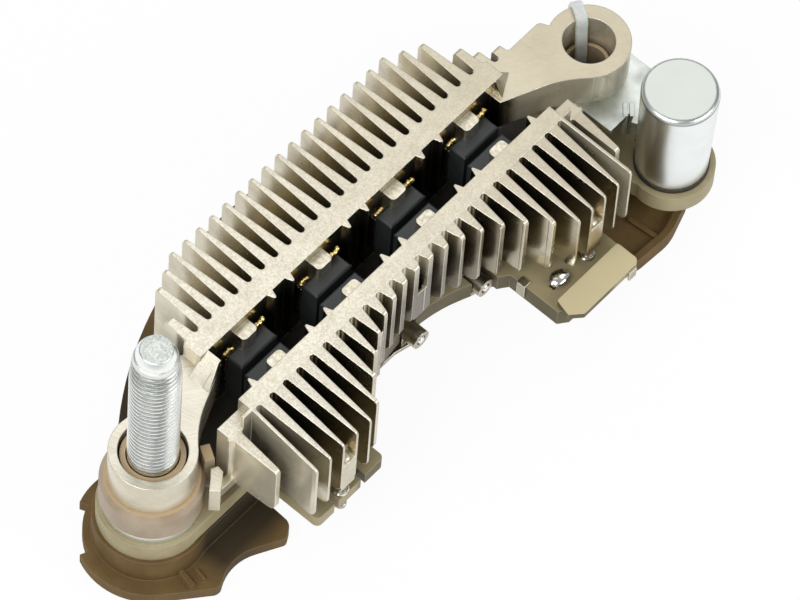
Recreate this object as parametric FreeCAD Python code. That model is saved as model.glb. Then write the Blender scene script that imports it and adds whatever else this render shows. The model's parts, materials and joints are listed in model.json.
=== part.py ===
import FreeCAD, Part
import math
import os

from FreeCAD import Vector

os.makedirs("parts", exist_ok=True)

# Frame: the origin lies on the terminal stud's axis in the plane that the rectifier stands on.
# X runs from the stud to the mounting eyelet, Y towards the long fins of the positive sink, Z up.

# Fixing points and the alternator's shaft that the crescent curves around
mount_spacing = 100.0
shaft_offset = 36.0
middle_x = mount_spacing / 2.0

# Heights of the layers, from the bottom up
flange_thickness = 2.2
cover_height = 7.5
board_thickness = 3.6
contact_ring_height = 2.4
insulator_height = 5.6
arm_thickness = 7.2
arm_drop = 3.2
sink_depth = 15.5

board_top = cover_height + board_thickness
ring_top = board_top + contact_ring_height
arm_bottom = ring_top + insulator_height
arm_top = arm_bottom + arm_thickness
bar_top = arm_top + arm_drop
sink_bottom = bar_top - sink_depth

# Channel that holds the diodes, between the two heat sinks
channel_half = 4.55
diode_pitch = 17.0
negative_shift = -0.5

# Fins of both heat sinks
fin_pitch = 3.0
slot_root_width = 1.2
slot_mouth_width = 2.5
fin_top_radius = 0.8
fin_bottom_radius = 1.5

# Positive heat sink
positive_wall = 3.4
positive_fin_half_count = 11
positive_fin_length = 12.45
positive_end_lengths = (11.0, 9.6, 4.8)
positive_low_lengths = (3.55, 1.85)
positive_overhang = 1.6

# Negative heat sink
negative_wall = 2.85
negative_fin_half_count = 12
negative_fin_length = 13.7
negative_fin_fall = 1.6
negative_low_length = 8.6
negative_overhang = 0.4
negative_end_lean = 0.7
shaft_bay_radius = 26.9
foot_link_height = 2.0

# Triangular ribs on the channel walls, one each side of the webs between diodes
tooth_depth = 1.8
tooth_width = 1.3
tooth_gap = 4.1

# Collar round the stud and the eyelet at the far end
collar_radius = 6.85
collar_bore_radius = 5.4
eyelet_radius = 6.7
eyelet_bore_radius = 4.2

# Terminal stud
stud_radius = 4.0
stud_shank_radius = 3.6
stud_pilot_base_radius = 3.6
stud_pilot_radius = 3.1
stud_pilot_length = 3.6
stud_above_arm = 30.0
stud_head_radius = 6.4
stud_head_height = 3.4
running_clearance = 0.15

# Insulating pieces and rings
bush_wall = 0.9
bush_below_arm_top = 1.0
insulator_radius = 8.1
insulator_lip_radius = 7.4
insulator_lip_height = 1.0
contact_ring_radius = 7.75
through_bolt_radius = 3.2
eyelet_bush_drop = 6.3
eyelet_bush_radius = 3.75
key_width = 2.8
key_inner_radius = 7.85
key_outer_radius = 9.4
key_height = 2.4
key_angle = -31.0

# Diodes
case_width = 8.0
case_depth = 3.1
case_height = 10.3
case_gap = 1.0
case_bevel = 0.6
slug_width = 6.4
slug_height = 6.5
tab_width = 3.2
tab_depth = 2.25
tab_rise = 3.0
tab_radius = 0.7
lead_radius = 0.6
prong_size = 0.6
prong_rise = 1.6
prong_hold = 1.0

# Terminal board
board_ring_radius = 8.5
board_outer_radius = 60.0
board_inner_radius = 28.2
board_wing_start = 14.6
board_wing_end = 29.8
board_wing_lip = 0.2
board_wing_thickness = 2.4
wing_notches = (4.3, 10.3)
wing_boss_radius = 1.7
board_arm_edge = 8.4
notch_width = 1.0
notch_depth = 2.0
tab_plate_left = 67.2
tab_plate_right = 82.2
tab_plate_reach = 2.5
tab_plate_hold = 2.2
tab_plate_height = 1.5
tab_plate_thickness = 1.2
tab_body_reach = 3.5
tab_body_right = 82.8

# Base cover
cover_wall = 1.6
cover_outer_radius = 65.5
cover_inner_radius = 33.0
cover_boss_radius = 9.1
stud_lobe_radius = 11.7
eyelet_lobe_radius = 10.0
rib_width = 1.4
tray_rim_height = 3.2
tray_rim_width = 1.2
tray_boss_radius = 2.6
edge_rib_height = 0.7

# Suppression capacitor
can_offset_y = -18.3
can_top_radius = 6.2
can_foot_radius = 5.8
can_height = 20.1
can_edge_radius = 0.9
can_disc_radius = 7.0
seal_radius = 6.0
seal_height = 0.8
strap_thickness = 1.0
strap_half_width = 6.5
strap_band_height = 5.6
strap_corner = (1.7, 7.6)
strap_ear_angle = 133.0
strap_ear_thickness = 0.75
strap_ear_gap = 0.3
strap_ear_start = 3.1
strap_ear_width = 2.5
strap_ear_height = 5.4
strap_ear_rise = 0.2

# Phase conductors
conductor_width = 3.0
conductor_thickness = 0.8
conductor_clearance = 1.2
tube_radius = 1.7
tube_bore_radius = 0.95
tube_length = 3.4
tube_axis_height = 9.3
tongue_width = 3.2
tongue_rise = 1.2

# Clips on the board's edge by the tab corner
clip_width = 1.6
clip_thickness = 0.4
clip_reach = 1.0

# Webs between fins, the outer two riveted to the board
web_steps = (-9.5, 0.5, 9.5)
web_height = 7.0
web_length = 2.4
rivet_radius = 0.8
rivet_head_radius = 0.95
rivet_collar_radius = 1.1
rivet_head_height = 0.7
rivet_collar_height = 0.8

negative_middle = middle_x + negative_shift
negative_fin_end = channel_half + negative_wall + negative_fin_length
board_wing_depth = negative_fin_end - board_wing_lip
tab_body_front = negative_fin_end + tab_body_reach
tab_plate_front = tab_body_front + tab_plate_reach
tab_plate_back = tab_body_front - tab_plate_hold
can_x = mount_spacing
tooth_centres = (-diode_pitch, 0.0, diode_pitch)
diode_offsets = tuple(diode_pitch * (step - 1.5) for step in range(4))


def slab(face, low, high):
    """A flat plan shape raised from one height to another."""
    moved = face.copy()
    moved.translate(Vector(0, 0, low))
    return moved.extrude(Vector(0, 0, high - low))


def disc(x, y, radius):
    edge = Part.makeCircle(radius, Vector(x, y, 0))
    return Part.Face(Part.Wire(edge))


def rod(x, y, radius, low, high):
    return Part.makeCylinder(radius, high - low, Vector(x, y, low))


def block(x_low, x_high, y_low, y_high, z_low, z_high):
    return Part.makeBox(x_high - x_low, y_high - y_low, z_high - z_low, Vector(x_low, y_low, z_low))


def spaced(points):
    """Plan points given in hundredths of the distance between the fixings."""
    return [tuple(value * mount_spacing / 100.0 for value in point) for point in points]


def outline(corners):
    """A closed plan face from corners (x, y, radius), each rounded by a tangent arc."""
    count = len(corners)
    edges = []
    starts = []
    ends = []
    for index in range(count):
        x, y, radius = corners[index]
        before = corners[index - 1]
        after = corners[(index + 1) % count]
        here = Vector(x, y, 0)
        back = (Vector(before[0], before[1], 0) - here).normalize()
        ahead = (Vector(after[0], after[1], 0) - here).normalize()
        if radius <= 0:
            starts.append(here)
            ends.append(here)
            continue
        half_angle = back.getAngle(ahead) / 2.0
        reach = radius / math.tan(half_angle)
        centre_distance = radius / math.sin(half_angle)
        middle = (back + ahead).normalize()
        first = here + back * reach
        last = here + ahead * reach
        top = here + middle * (centre_distance - radius)
        edges.append(Part.Arc(first, top, last).toShape())
        starts.append(first)
        ends.append(last)
    for index in range(count):
        following = (index + 1) % count
        if ends[index].distanceToPoint(starts[following]) > 1e-6:
            edges.append(Part.makeLine(ends[index], starts[following]))
    return Part.Face(Part.Wire(Part.__sortEdges__(edges)))


def polygon(*points):
    return outline([(x, y, 0) for x, y in points])


def joined(first, *others):
    return first.fuse(list(others)).removeSplitter()


def save(shape, node):
    solids = shape.Solids
    kept = solids[0] if len(solids) == 1 else Part.makeCompound(solids)
    kept.exportStep("parts/" + node + ".step")


def fin_slab(x, root, tip, low, high, fall=0.0):
    """One pitch of fin block from root to tip in Y, rounded at its free end, its top falling."""
    way = 1.0 if tip > root else -1.0
    top_round = min(fin_top_radius, abs(tip - root) / 3.0)
    bottom_round = min(fin_bottom_radius, abs(tip - root) / 3.0)
    corners = [
        (root - way * 0.5, low, 0),
        (tip, low, bottom_round),
        (tip, high - fall, top_round),
        (root - way * 0.5, high, 0),
    ]
    side = outline(corners)
    side.rotate(Vector(0, 0, 0), Vector(1, 0, 0), 90)
    side.rotate(Vector(0, 0, 0), Vector(0, 0, 1), 90)
    side.translate(Vector(x - fin_pitch / 2.0, 0, 0))
    return side.extrude(Vector(fin_pitch, 0, 0))


def slot_cutter(x, root, way, low, high):
    """A slot between two fins: round at its root and wider towards the fin tips."""
    reach = 1.2 * max(positive_fin_length, negative_fin_length)
    half_root = slot_root_width / 2.0
    spread = (slot_mouth_width - slot_root_width) / 2.0 * reach / positive_fin_length
    half_mouth = half_root + spread
    end = root + way * reach
    round_end = root + way * half_root
    taper = polygon(
        (x - half_root, round_end),
        (x + half_root, round_end),
        (x + half_mouth, end),
        (x - half_mouth, end),
    )
    return joined(slab(taper, low, high), rod(x, round_end, half_root, low, high))


def tooth(x, wall_y, way):
    """A triangular rib on a channel wall, standing its whole depth."""
    half = tooth_width / 2.0
    tip = wall_y + way * tooth_depth
    inside = wall_y - way * 0.5
    face = outline([
        (x - half, inside, 0),
        (x + half, inside, 0),
        (x + half, wall_y, 0),
        (x, tip, 0.25),
        (x - half, wall_y, 0),
    ])
    return slab(face, sink_bottom, bar_top)


def arm_plan(outer_edge, end_radius):
    """Plan of the arm that joins the bar's end to a round eye at the origin."""
    inner_edge = spaced([(18.0, 2.55, 0), (8.4, -1.5, 18.0), (4.6, -5.0, 0)])
    corners = [
        (-end_radius * 0.5, 0.0, 0),
        (end_radius * 0.3, end_radius * 0.9, 0),
        (end_radius * 0.42, outer_edge, 1.0),
        (inner_edge[0][0], outer_edge, 0),
    ]
    return outline(corners + inner_edge)


def mirrored(shape):
    return shape.mirror(Vector(middle_x, 0, 0), Vector(1, 0, 0))


def ramp(x_low, x_high, y_low, y_high):
    """A sloped shoulder from the arm's level up to the bar's top, rising towards +X."""
    side = polygon((x_low, arm_top), (x_high, bar_top), (x_high, arm_top - 1.0), (x_low, arm_top - 1.0))
    side.rotate(Vector(0, 0, 0), Vector(1, 0, 0), 90)
    side.translate(Vector(0, y_high, 0))
    return side.extrude(Vector(0, y_low - y_high, 0))


def positive_tip(step):
    """Fin length by its count from the middle; the last three get shorter."""
    ends = positive_fin_half_count - len(positive_end_lengths)
    if abs(step) <= ends:
        return positive_fin_length
    return positive_end_lengths[abs(step) - ends - 1]


def positive_heat_sink():
    root = channel_half + positive_wall
    half_bar = positive_fin_half_count * fin_pitch + positive_overhang
    bar = block(middle_x - half_bar, middle_x + half_bar, channel_half, root, sink_bottom, bar_top)
    pieces = []
    cutters = []
    for step in range(-positive_fin_half_count, positive_fin_half_count + 1):
        x = middle_x + step * fin_pitch
        pieces.append(fin_slab(x, root, root + positive_tip(step), sink_bottom, bar_top))
    for count, length in enumerate(positive_low_lengths, start=1):
        offset = (positive_fin_half_count + count) * fin_pitch
        for x in (middle_x - offset, middle_x + offset):
            pieces.append(fin_slab(x, root, root + length, arm_bottom, arm_top))
    slot_half = positive_fin_half_count + len(positive_low_lengths) + 0.5
    for count in range(int(2 * slot_half) + 1):
        x = middle_x + (count - slot_half) * fin_pitch
        cutters.append(slot_cutter(x, root, 1.0, sink_bottom, bar_top))
    for centre in tooth_centres:
        for side in (-0.5, 0.5):
            pieces.append(tooth(middle_x + centre + side * tooth_gap, channel_half, -1.0))
    ribbed = bar.fuse(pieces).cut(Part.makeCompound(cutters))
    stud_arm = slab(arm_plan(root, collar_radius), arm_bottom, arm_top)
    eyelet_arm = mirrored(slab(arm_plan(root, eyelet_radius), arm_bottom, arm_top))
    collar = rod(0, 0, collar_radius, arm_bottom, arm_top)
    eyelet = rod(mount_spacing, 0, eyelet_radius, arm_bottom, arm_top)
    stud_ramp = ramp(13.1, 17.1, 1.9, channel_half + 0.2)
    low = [Vector(82.7, 2.8, arm_top), Vector(87.1, 5.3, arm_top), Vector(82.7, 5.3, arm_top)]
    high = [Vector(82.7, 4.3, bar_top), Vector(84.4, 5.3, bar_top), Vector(82.7, 5.3, bar_top)]
    facet = Part.makeLoft([Part.makePolygon(low + low[:1]), Part.makePolygon(high + high[:1])], True, True)
    shoulder = block(84.0, 87.0, 5.2, root, arm_bottom, arm_top)
    whole = ribbed.fuse([stud_arm, eyelet_arm, collar, eyelet, stud_ramp, facet, shoulder])
    bores = [
        rod(0, 0, collar_bore_radius, arm_bottom - 1, arm_top + 1),
        rod(mount_spacing, 0, eyelet_bore_radius, arm_bottom - 1, arm_top + 1),
    ]
    return whole.cut(bores).removeSplitter()


def negative_tip(x):
    """Y of a fin's end: the straight line, or the bay round the alternator's shaft."""
    straight = -(channel_half + negative_wall + negative_fin_length)
    across = x - middle_x
    if abs(across) >= shaft_bay_radius:
        return straight
    bay = -shaft_offset + math.sqrt(shaft_bay_radius ** 2 - across ** 2)
    return max(straight, bay)


def web_places():
    """Slots of the negative sink that are bridged by a web with a hole."""
    return [negative_middle + step * fin_pitch for step in web_steps]


def rivet_places():
    return web_places()[::2]


def web_centre_y(x):
    return negative_tip(x) + web_length / 2.0


def negative_heat_sink():
    root = -(channel_half + negative_wall)
    half_bar = negative_fin_half_count * fin_pitch - negative_overhang
    left = negative_middle - half_bar
    right = negative_middle + half_bar
    bar = block(left, right, root, -channel_half, sink_bottom, bar_top)
    pieces = []
    cutters = []
    for step in range(-negative_fin_half_count, negative_fin_half_count + 1):
        x = negative_middle + step * fin_pitch
        tip = negative_tip(x)
        fall = negative_fin_fall * (root - tip) / negative_fin_length
        pieces.append(fin_slab(x, root, tip, sink_bottom, bar_top, fall))
    offset = (negative_fin_half_count + 1) * fin_pitch
    for x in (negative_middle - offset, negative_middle + offset):
        fall = negative_fin_fall * negative_low_length / negative_fin_length
        pieces.append(fin_slab(x, root, root - negative_low_length, sink_bottom, arm_top, fall))
    slot_half = negative_fin_half_count + 1.5
    for count in range(int(2 * slot_half) + 1):
        x = negative_middle + (count - slot_half) * fin_pitch
        cutters.append(slot_cutter(x, root, -1.0, sink_bottom, bar_top))
    for centre in tooth_centres:
        for side in (-0.5, 0.5):
            pieces.append(tooth(negative_middle + centre + side * tooth_gap, -channel_half, 1.0))
    for side in (-1.0, 1.0):
        x = negative_middle + side * (1.5 * diode_pitch + diode_pitch / 2.0 - tooth_gap / 2.0)
        pieces.append(tooth(x, -channel_half, 1.0))
    for side in (-1.0, 1.0):
        edge = negative_middle + side * half_bar
        outside = negative_middle + side * slot_half * fin_pitch - side * fin_pitch
        tip = negative_tip(outside) - 0.5
        lean = polygon((edge, root), (edge + side * negative_end_lean, tip), (outside, tip), (outside, root))
        cutters.append(slab(lean, sink_bottom, bar_top))
    ribbed = bar.fuse(pieces).cut(Part.makeCompound(cutters))
    reach = offset + 1.2
    lug_left = block(negative_middle - reach, left + 0.5, root + 0.1, -channel_half, sink_bottom, arm_top)
    lug_right = block(right - 0.5, negative_middle + reach, root + 0.1, -channel_half, sink_bottom, arm_top)
    ramp_right = ramp(left - 1.6, left + 0.1, root, -channel_half)
    ramp_right = ramp_right.mirror(Vector(negative_middle, 0, 0), Vector(1, 0, 0))
    foot_plan = spaced([(6.4, -6.1), (7.4, -6.7), (7.2, -7.9), (4.4, -9.9), (3.3, -8.6), (5.0, -7.3)])
    foot = slab(polygon(*foot_plan), sink_bottom, arm_bottom + 0.9)
    link_start = foot_plan[0][0]
    link = block(link_start, negative_middle - offset, root - 1.0, root + 0.3,
                 sink_bottom, sink_bottom + foot_link_height)
    additions = [lug_left, lug_right, ramp_right, foot, link]
    for x in web_places():
        half = fin_pitch / 2.0
        middle = web_centre_y(x)
        web = block(x - half, x + half, middle - web_length / 2.0, middle + web_length / 2.0,
                    sink_bottom, sink_bottom + web_height)
        additions.append(web)
    whole = ribbed.fuse(additions)
    holes = [rod(x, web_centre_y(x), rivet_radius, sink_bottom - 1, sink_bottom + web_height + 1)
             for x in web_places()]
    return whole.cut(holes).removeSplitter()


def sink_rivets():
    """Rivets that hold the negative sink on the board: collar on the board, head on the web."""
    rivets = []
    for x in rivet_places():
        y = web_centre_y(x)
        low = cover_height - rivet_head_height
        high = sink_bottom + web_height
        shank = rod(x, y, rivet_radius, low, high + 0.1)
        head = rod(x, y, rivet_head_radius, high, high + rivet_head_height)
        head = head.makeChamfer(0.25, [head.Edges[0]])
        collar = rod(x, y, rivet_collar_radius, board_top, board_top + rivet_collar_height)
        foot = rod(x, y, rivet_head_radius, low, cover_height)
        rivets.append(joined(shank, head, collar, foot))
    return Part.makeCompound(rivets)


def board_plan():
    """Plan of the terminal board: rings at both fixings, the crescent, a wing and the tab corner."""
    band = disc(middle_x, -shaft_offset, board_outer_radius)
    upper = polygon((3.0, 0.0), (3.0, 30.0), (mount_spacing - 3.0, 30.0), (mount_spacing - 3.0, 0.0))
    shapes = [slab(band, 0, 1).common(slab(upper, 0, 1))]
    shapes.append(slab(polygon((0, -board_arm_edge), (mount_spacing, -board_arm_edge),
                               (mount_spacing, 1.0), (0, 1.0)), 0, 1))
    shapes.append(slab(disc(0, 0, board_ring_radius), 0, 1))
    shapes.append(slab(disc(mount_spacing, 0, board_ring_radius), 0, 1))
    shapes.append(slab(disc(can_x, can_offset_y, can_disc_radius), 0, 1))
    shapes.append(slab(polygon((can_x - 6.8, can_offset_y + 1.0), (can_x + 6.9, can_offset_y + 1.0),
                               (can_x + 8.2, 0.0), (can_x - 12.0, 0.0)), 0, 1))
    corner = outline(tab_corner())
    shapes.append(slab(corner, 0, 1))
    shapes.append(slab(polygon((board_wing_end - 1.0, -board_wing_depth + 1.5),
                               (tab_plate_left + 1.0, -board_wing_depth + 1.5),
                               (tab_plate_left + 1.0, -board_arm_edge + 1.0),
                               (board_wing_end - 1.0, -board_arm_edge + 1.0)), 0, 1))
    whole = shapes[0].fuse(shapes[1:])
    bay = slab(disc(middle_x, -shaft_offset, board_inner_radius), -1, 2)
    return whole.cut(bay.cut(slab(corner, -1, 2))).removeSplitter()


def tab_corner():
    """Plan of the board's body under the tab: a corner left of the tray of the base cover."""
    start = spaced([(67.2, -23.4, 0)])
    start.append((tab_plate_left + 1.6, -tab_body_front, 0.5))
    start.append((tab_body_right, -tab_body_front, 1.0))
    return start + spaced([(82.8, -13.0, 0), (88.5, -7.4, 0), (67.2, -7.4, 0)])


def tab_flap():
    """Plan of the thin tab that reaches over the board's front edge."""
    return outline([(tab_plate_left, -tab_plate_front + 1.7, 0),
                    (tab_plate_left + 1.9, -tab_plate_front, 0.4),
                    (tab_plate_right, -tab_plate_front, 1.2),
                    (tab_plate_right, -tab_plate_back, 0.4),
                    (tab_plate_left + 0.8, -tab_plate_back, 0.4)])


def board_wing():
    """Plan of the thinner wing at the stud side."""
    back = -board_arm_edge + 1.0
    return outline([(board_wing_start, -board_wing_depth, 1.0), (board_wing_end, -board_wing_depth, 1.0),
                    (board_wing_end, back, 0), (board_wing_start, back, 0)])


def lead_places():
    """Every diode's lower lead: x, y."""
    places = []
    for offset in diode_offsets:
        places.append((middle_x + offset, case_gap / 2.0 + case_depth / 2.0))
        places.append((negative_middle + offset, -case_gap / 2.0 - case_depth / 2.0))
    return places


def terminal_board():
    plan = board_plan()
    body = plan.Faces[0]
    for face in plan.Faces:
        if face.normalAt(0, 0).z < -0.9:
            body = face
    body = body.copy()
    body.translate(Vector(0, 0, cover_height))
    plate = body.extrude(Vector(0, 0, board_thickness))
    positive_root = channel_half + positive_wall
    negative_root = channel_half + negative_wall
    rail_end = 34.0
    rails = [
        block(middle_x - rail_end, middle_x + rail_end, channel_half, positive_root,
              board_top - 0.5, sink_bottom),
        block(negative_middle - rail_end, negative_middle + rail_end, -negative_root, -channel_half,
              board_top - 0.5, sink_bottom),
    ]
    wing_bottom = board_top - board_wing_thickness
    flap_top = board_top + tab_plate_height
    body_front = block(tab_plate_left + 2.0, tab_plate_right - 1.0, -tab_body_front, -tab_plate_back,
                       board_top - 0.5, flap_top - 0.5)
    additions = rails + [slab(board_wing(), wing_bottom, board_top), body_front]
    additions.append(slab(tab_flap(), flap_top - tab_plate_thickness, flap_top))
    for x in rivet_places():
        y = web_centre_y(x) + rivet_head_radius
        additions.append(rod(x, y, wing_boss_radius, cover_height, board_top))
    whole = plate.fuse(additions)
    cuts = [
        rod(0, 0, stud_shank_radius + running_clearance, cover_height - 1, board_top + 1),
        rod(mount_spacing, 0, through_bolt_radius, cover_height - 1, board_top + 1),
        rod(can_x, can_offset_y, lead_radius + running_clearance, cover_height - 1, board_top + 1),
    ]
    for x, y in lead_places():
        cuts.append(rod(x, y, lead_radius + running_clearance, cover_height - 1, board_top + 1))
    for x in rivet_places():
        cuts.append(rod(x, web_centre_y(x), rivet_radius, cover_height - 1, board_top + 1))
    for notch in wing_notches:
        x = board_wing_start + notch
        cuts.append(block(x - notch_width / 2.0, x + notch_width / 2.0, -board_wing_depth - 1,
                          -board_wing_depth + notch_depth, cover_height - 1, board_top + 1))
    for x, y in tongue_ends():
        half_width = tongue_width / 2.0 + running_clearance
        half_depth = conductor_thickness / 2.0 + running_clearance
        cuts.append(block(x - half_width, x + half_width, y - half_depth, y + half_depth,
                          cover_height - 1, board_top + 1))
    for x, y in tube_ends():
        half_width = tube_radius + running_clearance
        cuts.append(block(x - half_width, x + half_width, y - 2.0 * tube_length, y + running_clearance,
                          cover_height - 1, board_top + 1))
    return whole.cut(cuts).removeSplitter()


def conductor_runs():
    """Centre lines of the phase strips, from under each pair of leads to the stator terminal."""
    routes = [
        [(27.5, -6.6), (47.0, -6.6), (49.9, -7.3)],
        [(50.5, -3.2), (56.5, -5.7), (63.7, -8.4)],
        [(66.5, -5.2), (71.0, -11.0), (71.5, -19.8)],
        [(78.0, -8.0), (79.2, -15.0)],
    ]
    lead_y = (case_gap + case_depth) / 2.0
    runs = []
    for offset, route in zip(diode_offsets, routes):
        x = middle_x + offset + negative_shift / 2.0
        runs.append([(x, lead_y + 1.4), (x, -lead_y - 0.6)] + spaced(route))
    return runs


def tube_ends():
    """Last point of the strips that end in a rolled tube at the board's edge."""
    return [run[-1] for run in conductor_runs()[:2]]


def tongue_ends():
    """Last point of the strips that end in a tongue through the board."""
    return [run[-1] for run in conductor_runs()[2:]]


def strip_along(points, half, low, high):
    """A flat strip that follows the points, with round corners."""
    pieces = []
    for start, end in zip(points[:-1], points[1:]):
        a = Vector(start[0], start[1], 0)
        b = Vector(end[0], end[1], 0)
        across = (b - a).normalize().cross(Vector(0, 0, 1)) * half
        corners = [a + across, b + across, b - across, a - across]
        pieces.append(slab(polygon(*[(c.x, c.y) for c in corners]), low, high))
        pieces.append(rod(b.x, b.y, half, low, high))
    return pieces[0].fuse(pieces[1:])


def phase_conductor(run):
    """A flat strip under the board that ends in a tube or a tongue for a stator wire."""
    low = cover_height - conductor_clearance - conductor_thickness
    high = cover_height - conductor_clearance
    half = conductor_width / 2.0
    strip = strip_along(run, half, low, high)
    x, y = run[-1]
    if run[-1] in tongue_ends():
        tongue = block(x - tongue_width / 2.0, x + tongue_width / 2.0, y - conductor_thickness / 2.0,
                       y + conductor_thickness / 2.0, low, board_top + tongue_rise)
        return strip.fuse(tongue).removeSplitter()
    riser = block(x - half, x + half, y - conductor_thickness, y, low, tube_axis_height)
    along = Vector(0, -1, 0)
    tube = Part.makeCylinder(tube_radius, tube_length, Vector(x, y, tube_axis_height), along)
    bore = Part.makeCylinder(tube_bore_radius, tube_length + 2, Vector(x, y + 1, tube_axis_height), along)
    return strip.fuse([tube, riser]).cut(bore).removeSplitter()


def tray_plan():
    """Plan of the low tray beside the capacitor."""
    return outline(spaced([(70.0, -9.0, 0), (75.5, -21.5, 2.0), (87.4, -23.8, 5.0), (94.0, -24.2, 9.0),
                           (100.6, -22.0, 3.0), (103.6, -19.0, 2.0), (104.5, -12.0, 0), (108.5, 0.0, 0),
                           (70.0, 0.0, 0)]))


def cover_plan():
    """Plan of the base cover's flange."""
    shapes = []
    band = slab(disc(middle_x, -shaft_offset, cover_outer_radius), 0, 1)
    upper = block(2.0, mount_spacing - 2.0, 0.0, 40.0, 0, 1)
    shapes.append(band.common(upper))
    shapes.append(block(0.0, mount_spacing, -board_arm_edge - 1.0, 1.0, 0, 1))
    shapes.append(slab(disc(0, 0, stud_lobe_radius), 0, 1))
    shapes.append(slab(disc(mount_spacing, 0, eyelet_lobe_radius), 0, 1))
    wing = outline(spaced([(-8.0, -8.6, 0), (-0.4, -14.8, 1.5), (4.6, -12.0, 8.0), (12.9, -16.4, 1.0),
                           (15.3, -15.0, 2.0), (15.6, -9.0, 0), (15.6, 0.0, 0), (-8.0, 0.0, 0)]))
    shapes.append(slab(wing, 0, 1))
    shapes.append(slab(tray_plan(), 0, 1))
    whole = shapes[0].fuse(shapes[1:])
    bay = slab(disc(middle_x, -shaft_offset, cover_inner_radius), -1, 2)
    return whole.cut(bay).removeSplitter()


def wall_solid(low, high, shrink):
    """The raised tray of the base cover, grown smaller all round by shrink."""
    upper = polygon((8.0, 0.0), (8.0, 40.0), (mount_spacing - 8.0, 40.0), (mount_spacing - 8.0, 0.0))
    outer = slab(disc(middle_x, -shaft_offset, board_outer_radius + 0.6 - shrink), low, high)
    arm = board_arm_edge + 0.3 - shrink
    crescent = outer.common(slab(upper, low, high))
    strip = slab(polygon((shrink, -arm), (mount_spacing - shrink, -arm),
                         (mount_spacing - shrink, 1.0), (shrink, 1.0)), low, high)
    under_tab = spaced([(70.0, -6.0), (75.0, -21.3), (81.8, -21.3), (81.8, -13.5), (88.0, -7.2)])
    left, left_front, right_front, right_back, back = under_tab
    far = slab(polygon((left[0] + shrink, left[1]),
                       (left_front[0] + shrink, left_front[1] + shrink),
                       (right_front[0] - shrink, right_front[1] + shrink),
                       (right_back[0] - shrink, right_back[1]),
                       (back[0] - shrink, back[1]),
                       (back[0] - shrink, 0.0),
                       (left[0] + shrink, 0.0)), low, high)
    bay = rod(middle_x, -shaft_offset, cover_inner_radius + 1.0 + shrink, low - 1, high + 1)
    return crescent.fuse([strip, far]).cut(bay)


def tray_rim():
    """Low rim round the open part of the tray, right of the tab corner."""
    plan = tray_plan()
    inner = plan.makeOffset2D(-tray_rim_width)
    ring = slab(plan, flange_thickness - 0.5, tray_rim_height).cut(slab(inner, 0, tray_rim_height + 1))
    window = block(tab_body_right, mount_spacing + 20.0, -mount_spacing, -board_arm_edge, 0, cover_height)
    return ring.common(window)


def base_cover():
    plan = cover_plan()
    body = [face for face in plan.Faces if face.normalAt(0, 0).z < -0.9][0]
    flange = body.extrude(Vector(0, 0, flange_thickness))
    walls = wall_solid(flange_thickness - 0.5, cover_height, 0.0)
    cavity = wall_solid(flange_thickness, cover_height + 1, cover_wall)
    bosses = [
        rod(0, 0, cover_boss_radius, 0, cover_height),
        rod(mount_spacing, 0, cover_boss_radius, 0, cover_height),
        rod(can_x, can_offset_y, tray_boss_radius, 0, cover_height),
    ]
    support = cover_height - conductor_clearance - conductor_thickness
    ribs = []
    for run in conductor_runs():
        for x, y in run[:2]:
            ribs.append(block(x - conductor_width / 2.0, x + conductor_width / 2.0, y - rib_width / 2.0,
                              y + rib_width / 2.0, flange_thickness - 0.5, support))
    edge_ribs = [
        [(-2.9, -8.4), (-2.2, -8.9), (-2.7, -11.8), (-3.7, -11.7)],
        [(-0.9, -10.0), (-0.5, -10.1), (-0.9, -12.3), (-1.4, -12.2)],
        [(91.3, -17.5), (92.1, -17.5), (92.6, -23.3), (91.8, -23.3)],
    ]
    for points in edge_ribs:
        plan = polygon(*spaced(points))
        ribs.append(slab(plan, flange_thickness - 0.5, flange_thickness + edge_rib_height))
    ribs.append(tray_rim())
    whole = flange.fuse(walls).cut(cavity).fuse(bosses + ribs)
    cuts = [
        rod(0, 0, stud_shank_radius + running_clearance, -1, cover_height + 1),
        rod(0, 0, stud_head_radius + running_clearance, -1, stud_head_height),
        rod(mount_spacing, 0, through_bolt_radius, -1, cover_height + 1),
    ]
    for run in conductor_runs():
        half = conductor_width / 2.0 + running_clearance
        cuts.append(strip_along(run, half, support, cover_height + 1))
    boss_bore = tray_boss_radius - tray_rim_width
    cuts.append(rod(can_x, can_offset_y, boss_bore, flange_thickness, cover_height + 1))
    cuts.append(rod(middle_x, -shaft_offset, cover_inner_radius, -1, cover_height + 1))
    for x in rivet_places():
        cuts.append(rod(x, web_centre_y(x), 2.0 * rivet_head_radius,
                        cover_height - 2.0 * rivet_head_height, cover_height + 1))
    notch_angle = (110.0, 156.0)
    notch_face = disc(0, 0, stud_lobe_radius + 3).cut(disc(0, 0, stud_lobe_radius - 1.3))
    window = polygon((0, 0), *[(30 * math.cos(math.radians(a)), 30 * math.sin(math.radians(a)))
                               for a in notch_angle])
    cuts.append(slab(notch_face, -1, flange_thickness + 1).common(slab(window, -1, flange_thickness + 1)))
    return whole.cut(cuts).removeSplitter()


def terminal_stud():
    top = arm_top + stud_above_arm
    shank = rod(0, 0, stud_shank_radius, stud_head_height - 0.5, arm_top)
    thread = rod(0, 0, stud_radius, arm_top - bush_below_arm_top, top - stud_pilot_length)
    thread = thread.makeChamfer(stud_radius - stud_shank_radius, [thread.Edges[0]])
    pilot = Part.makeCone(stud_pilot_base_radius, stud_pilot_radius, stud_pilot_length,
                          Vector(0, 0, top - stud_pilot_length))
    head = rod(0, 0, stud_head_radius, 0.4, stud_head_height)
    return joined(shank, thread, pilot, head)


def ring(x, y, outer, inner, low, high):
    return rod(x, y, outer, low, high).cut(rod(x, y, inner, low - 1, high + 1))


def stud_bush():
    bore = stud_radius + running_clearance
    return ring(0, 0, bore + bush_wall, bore, arm_bottom, arm_top - bush_below_arm_top)


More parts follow.
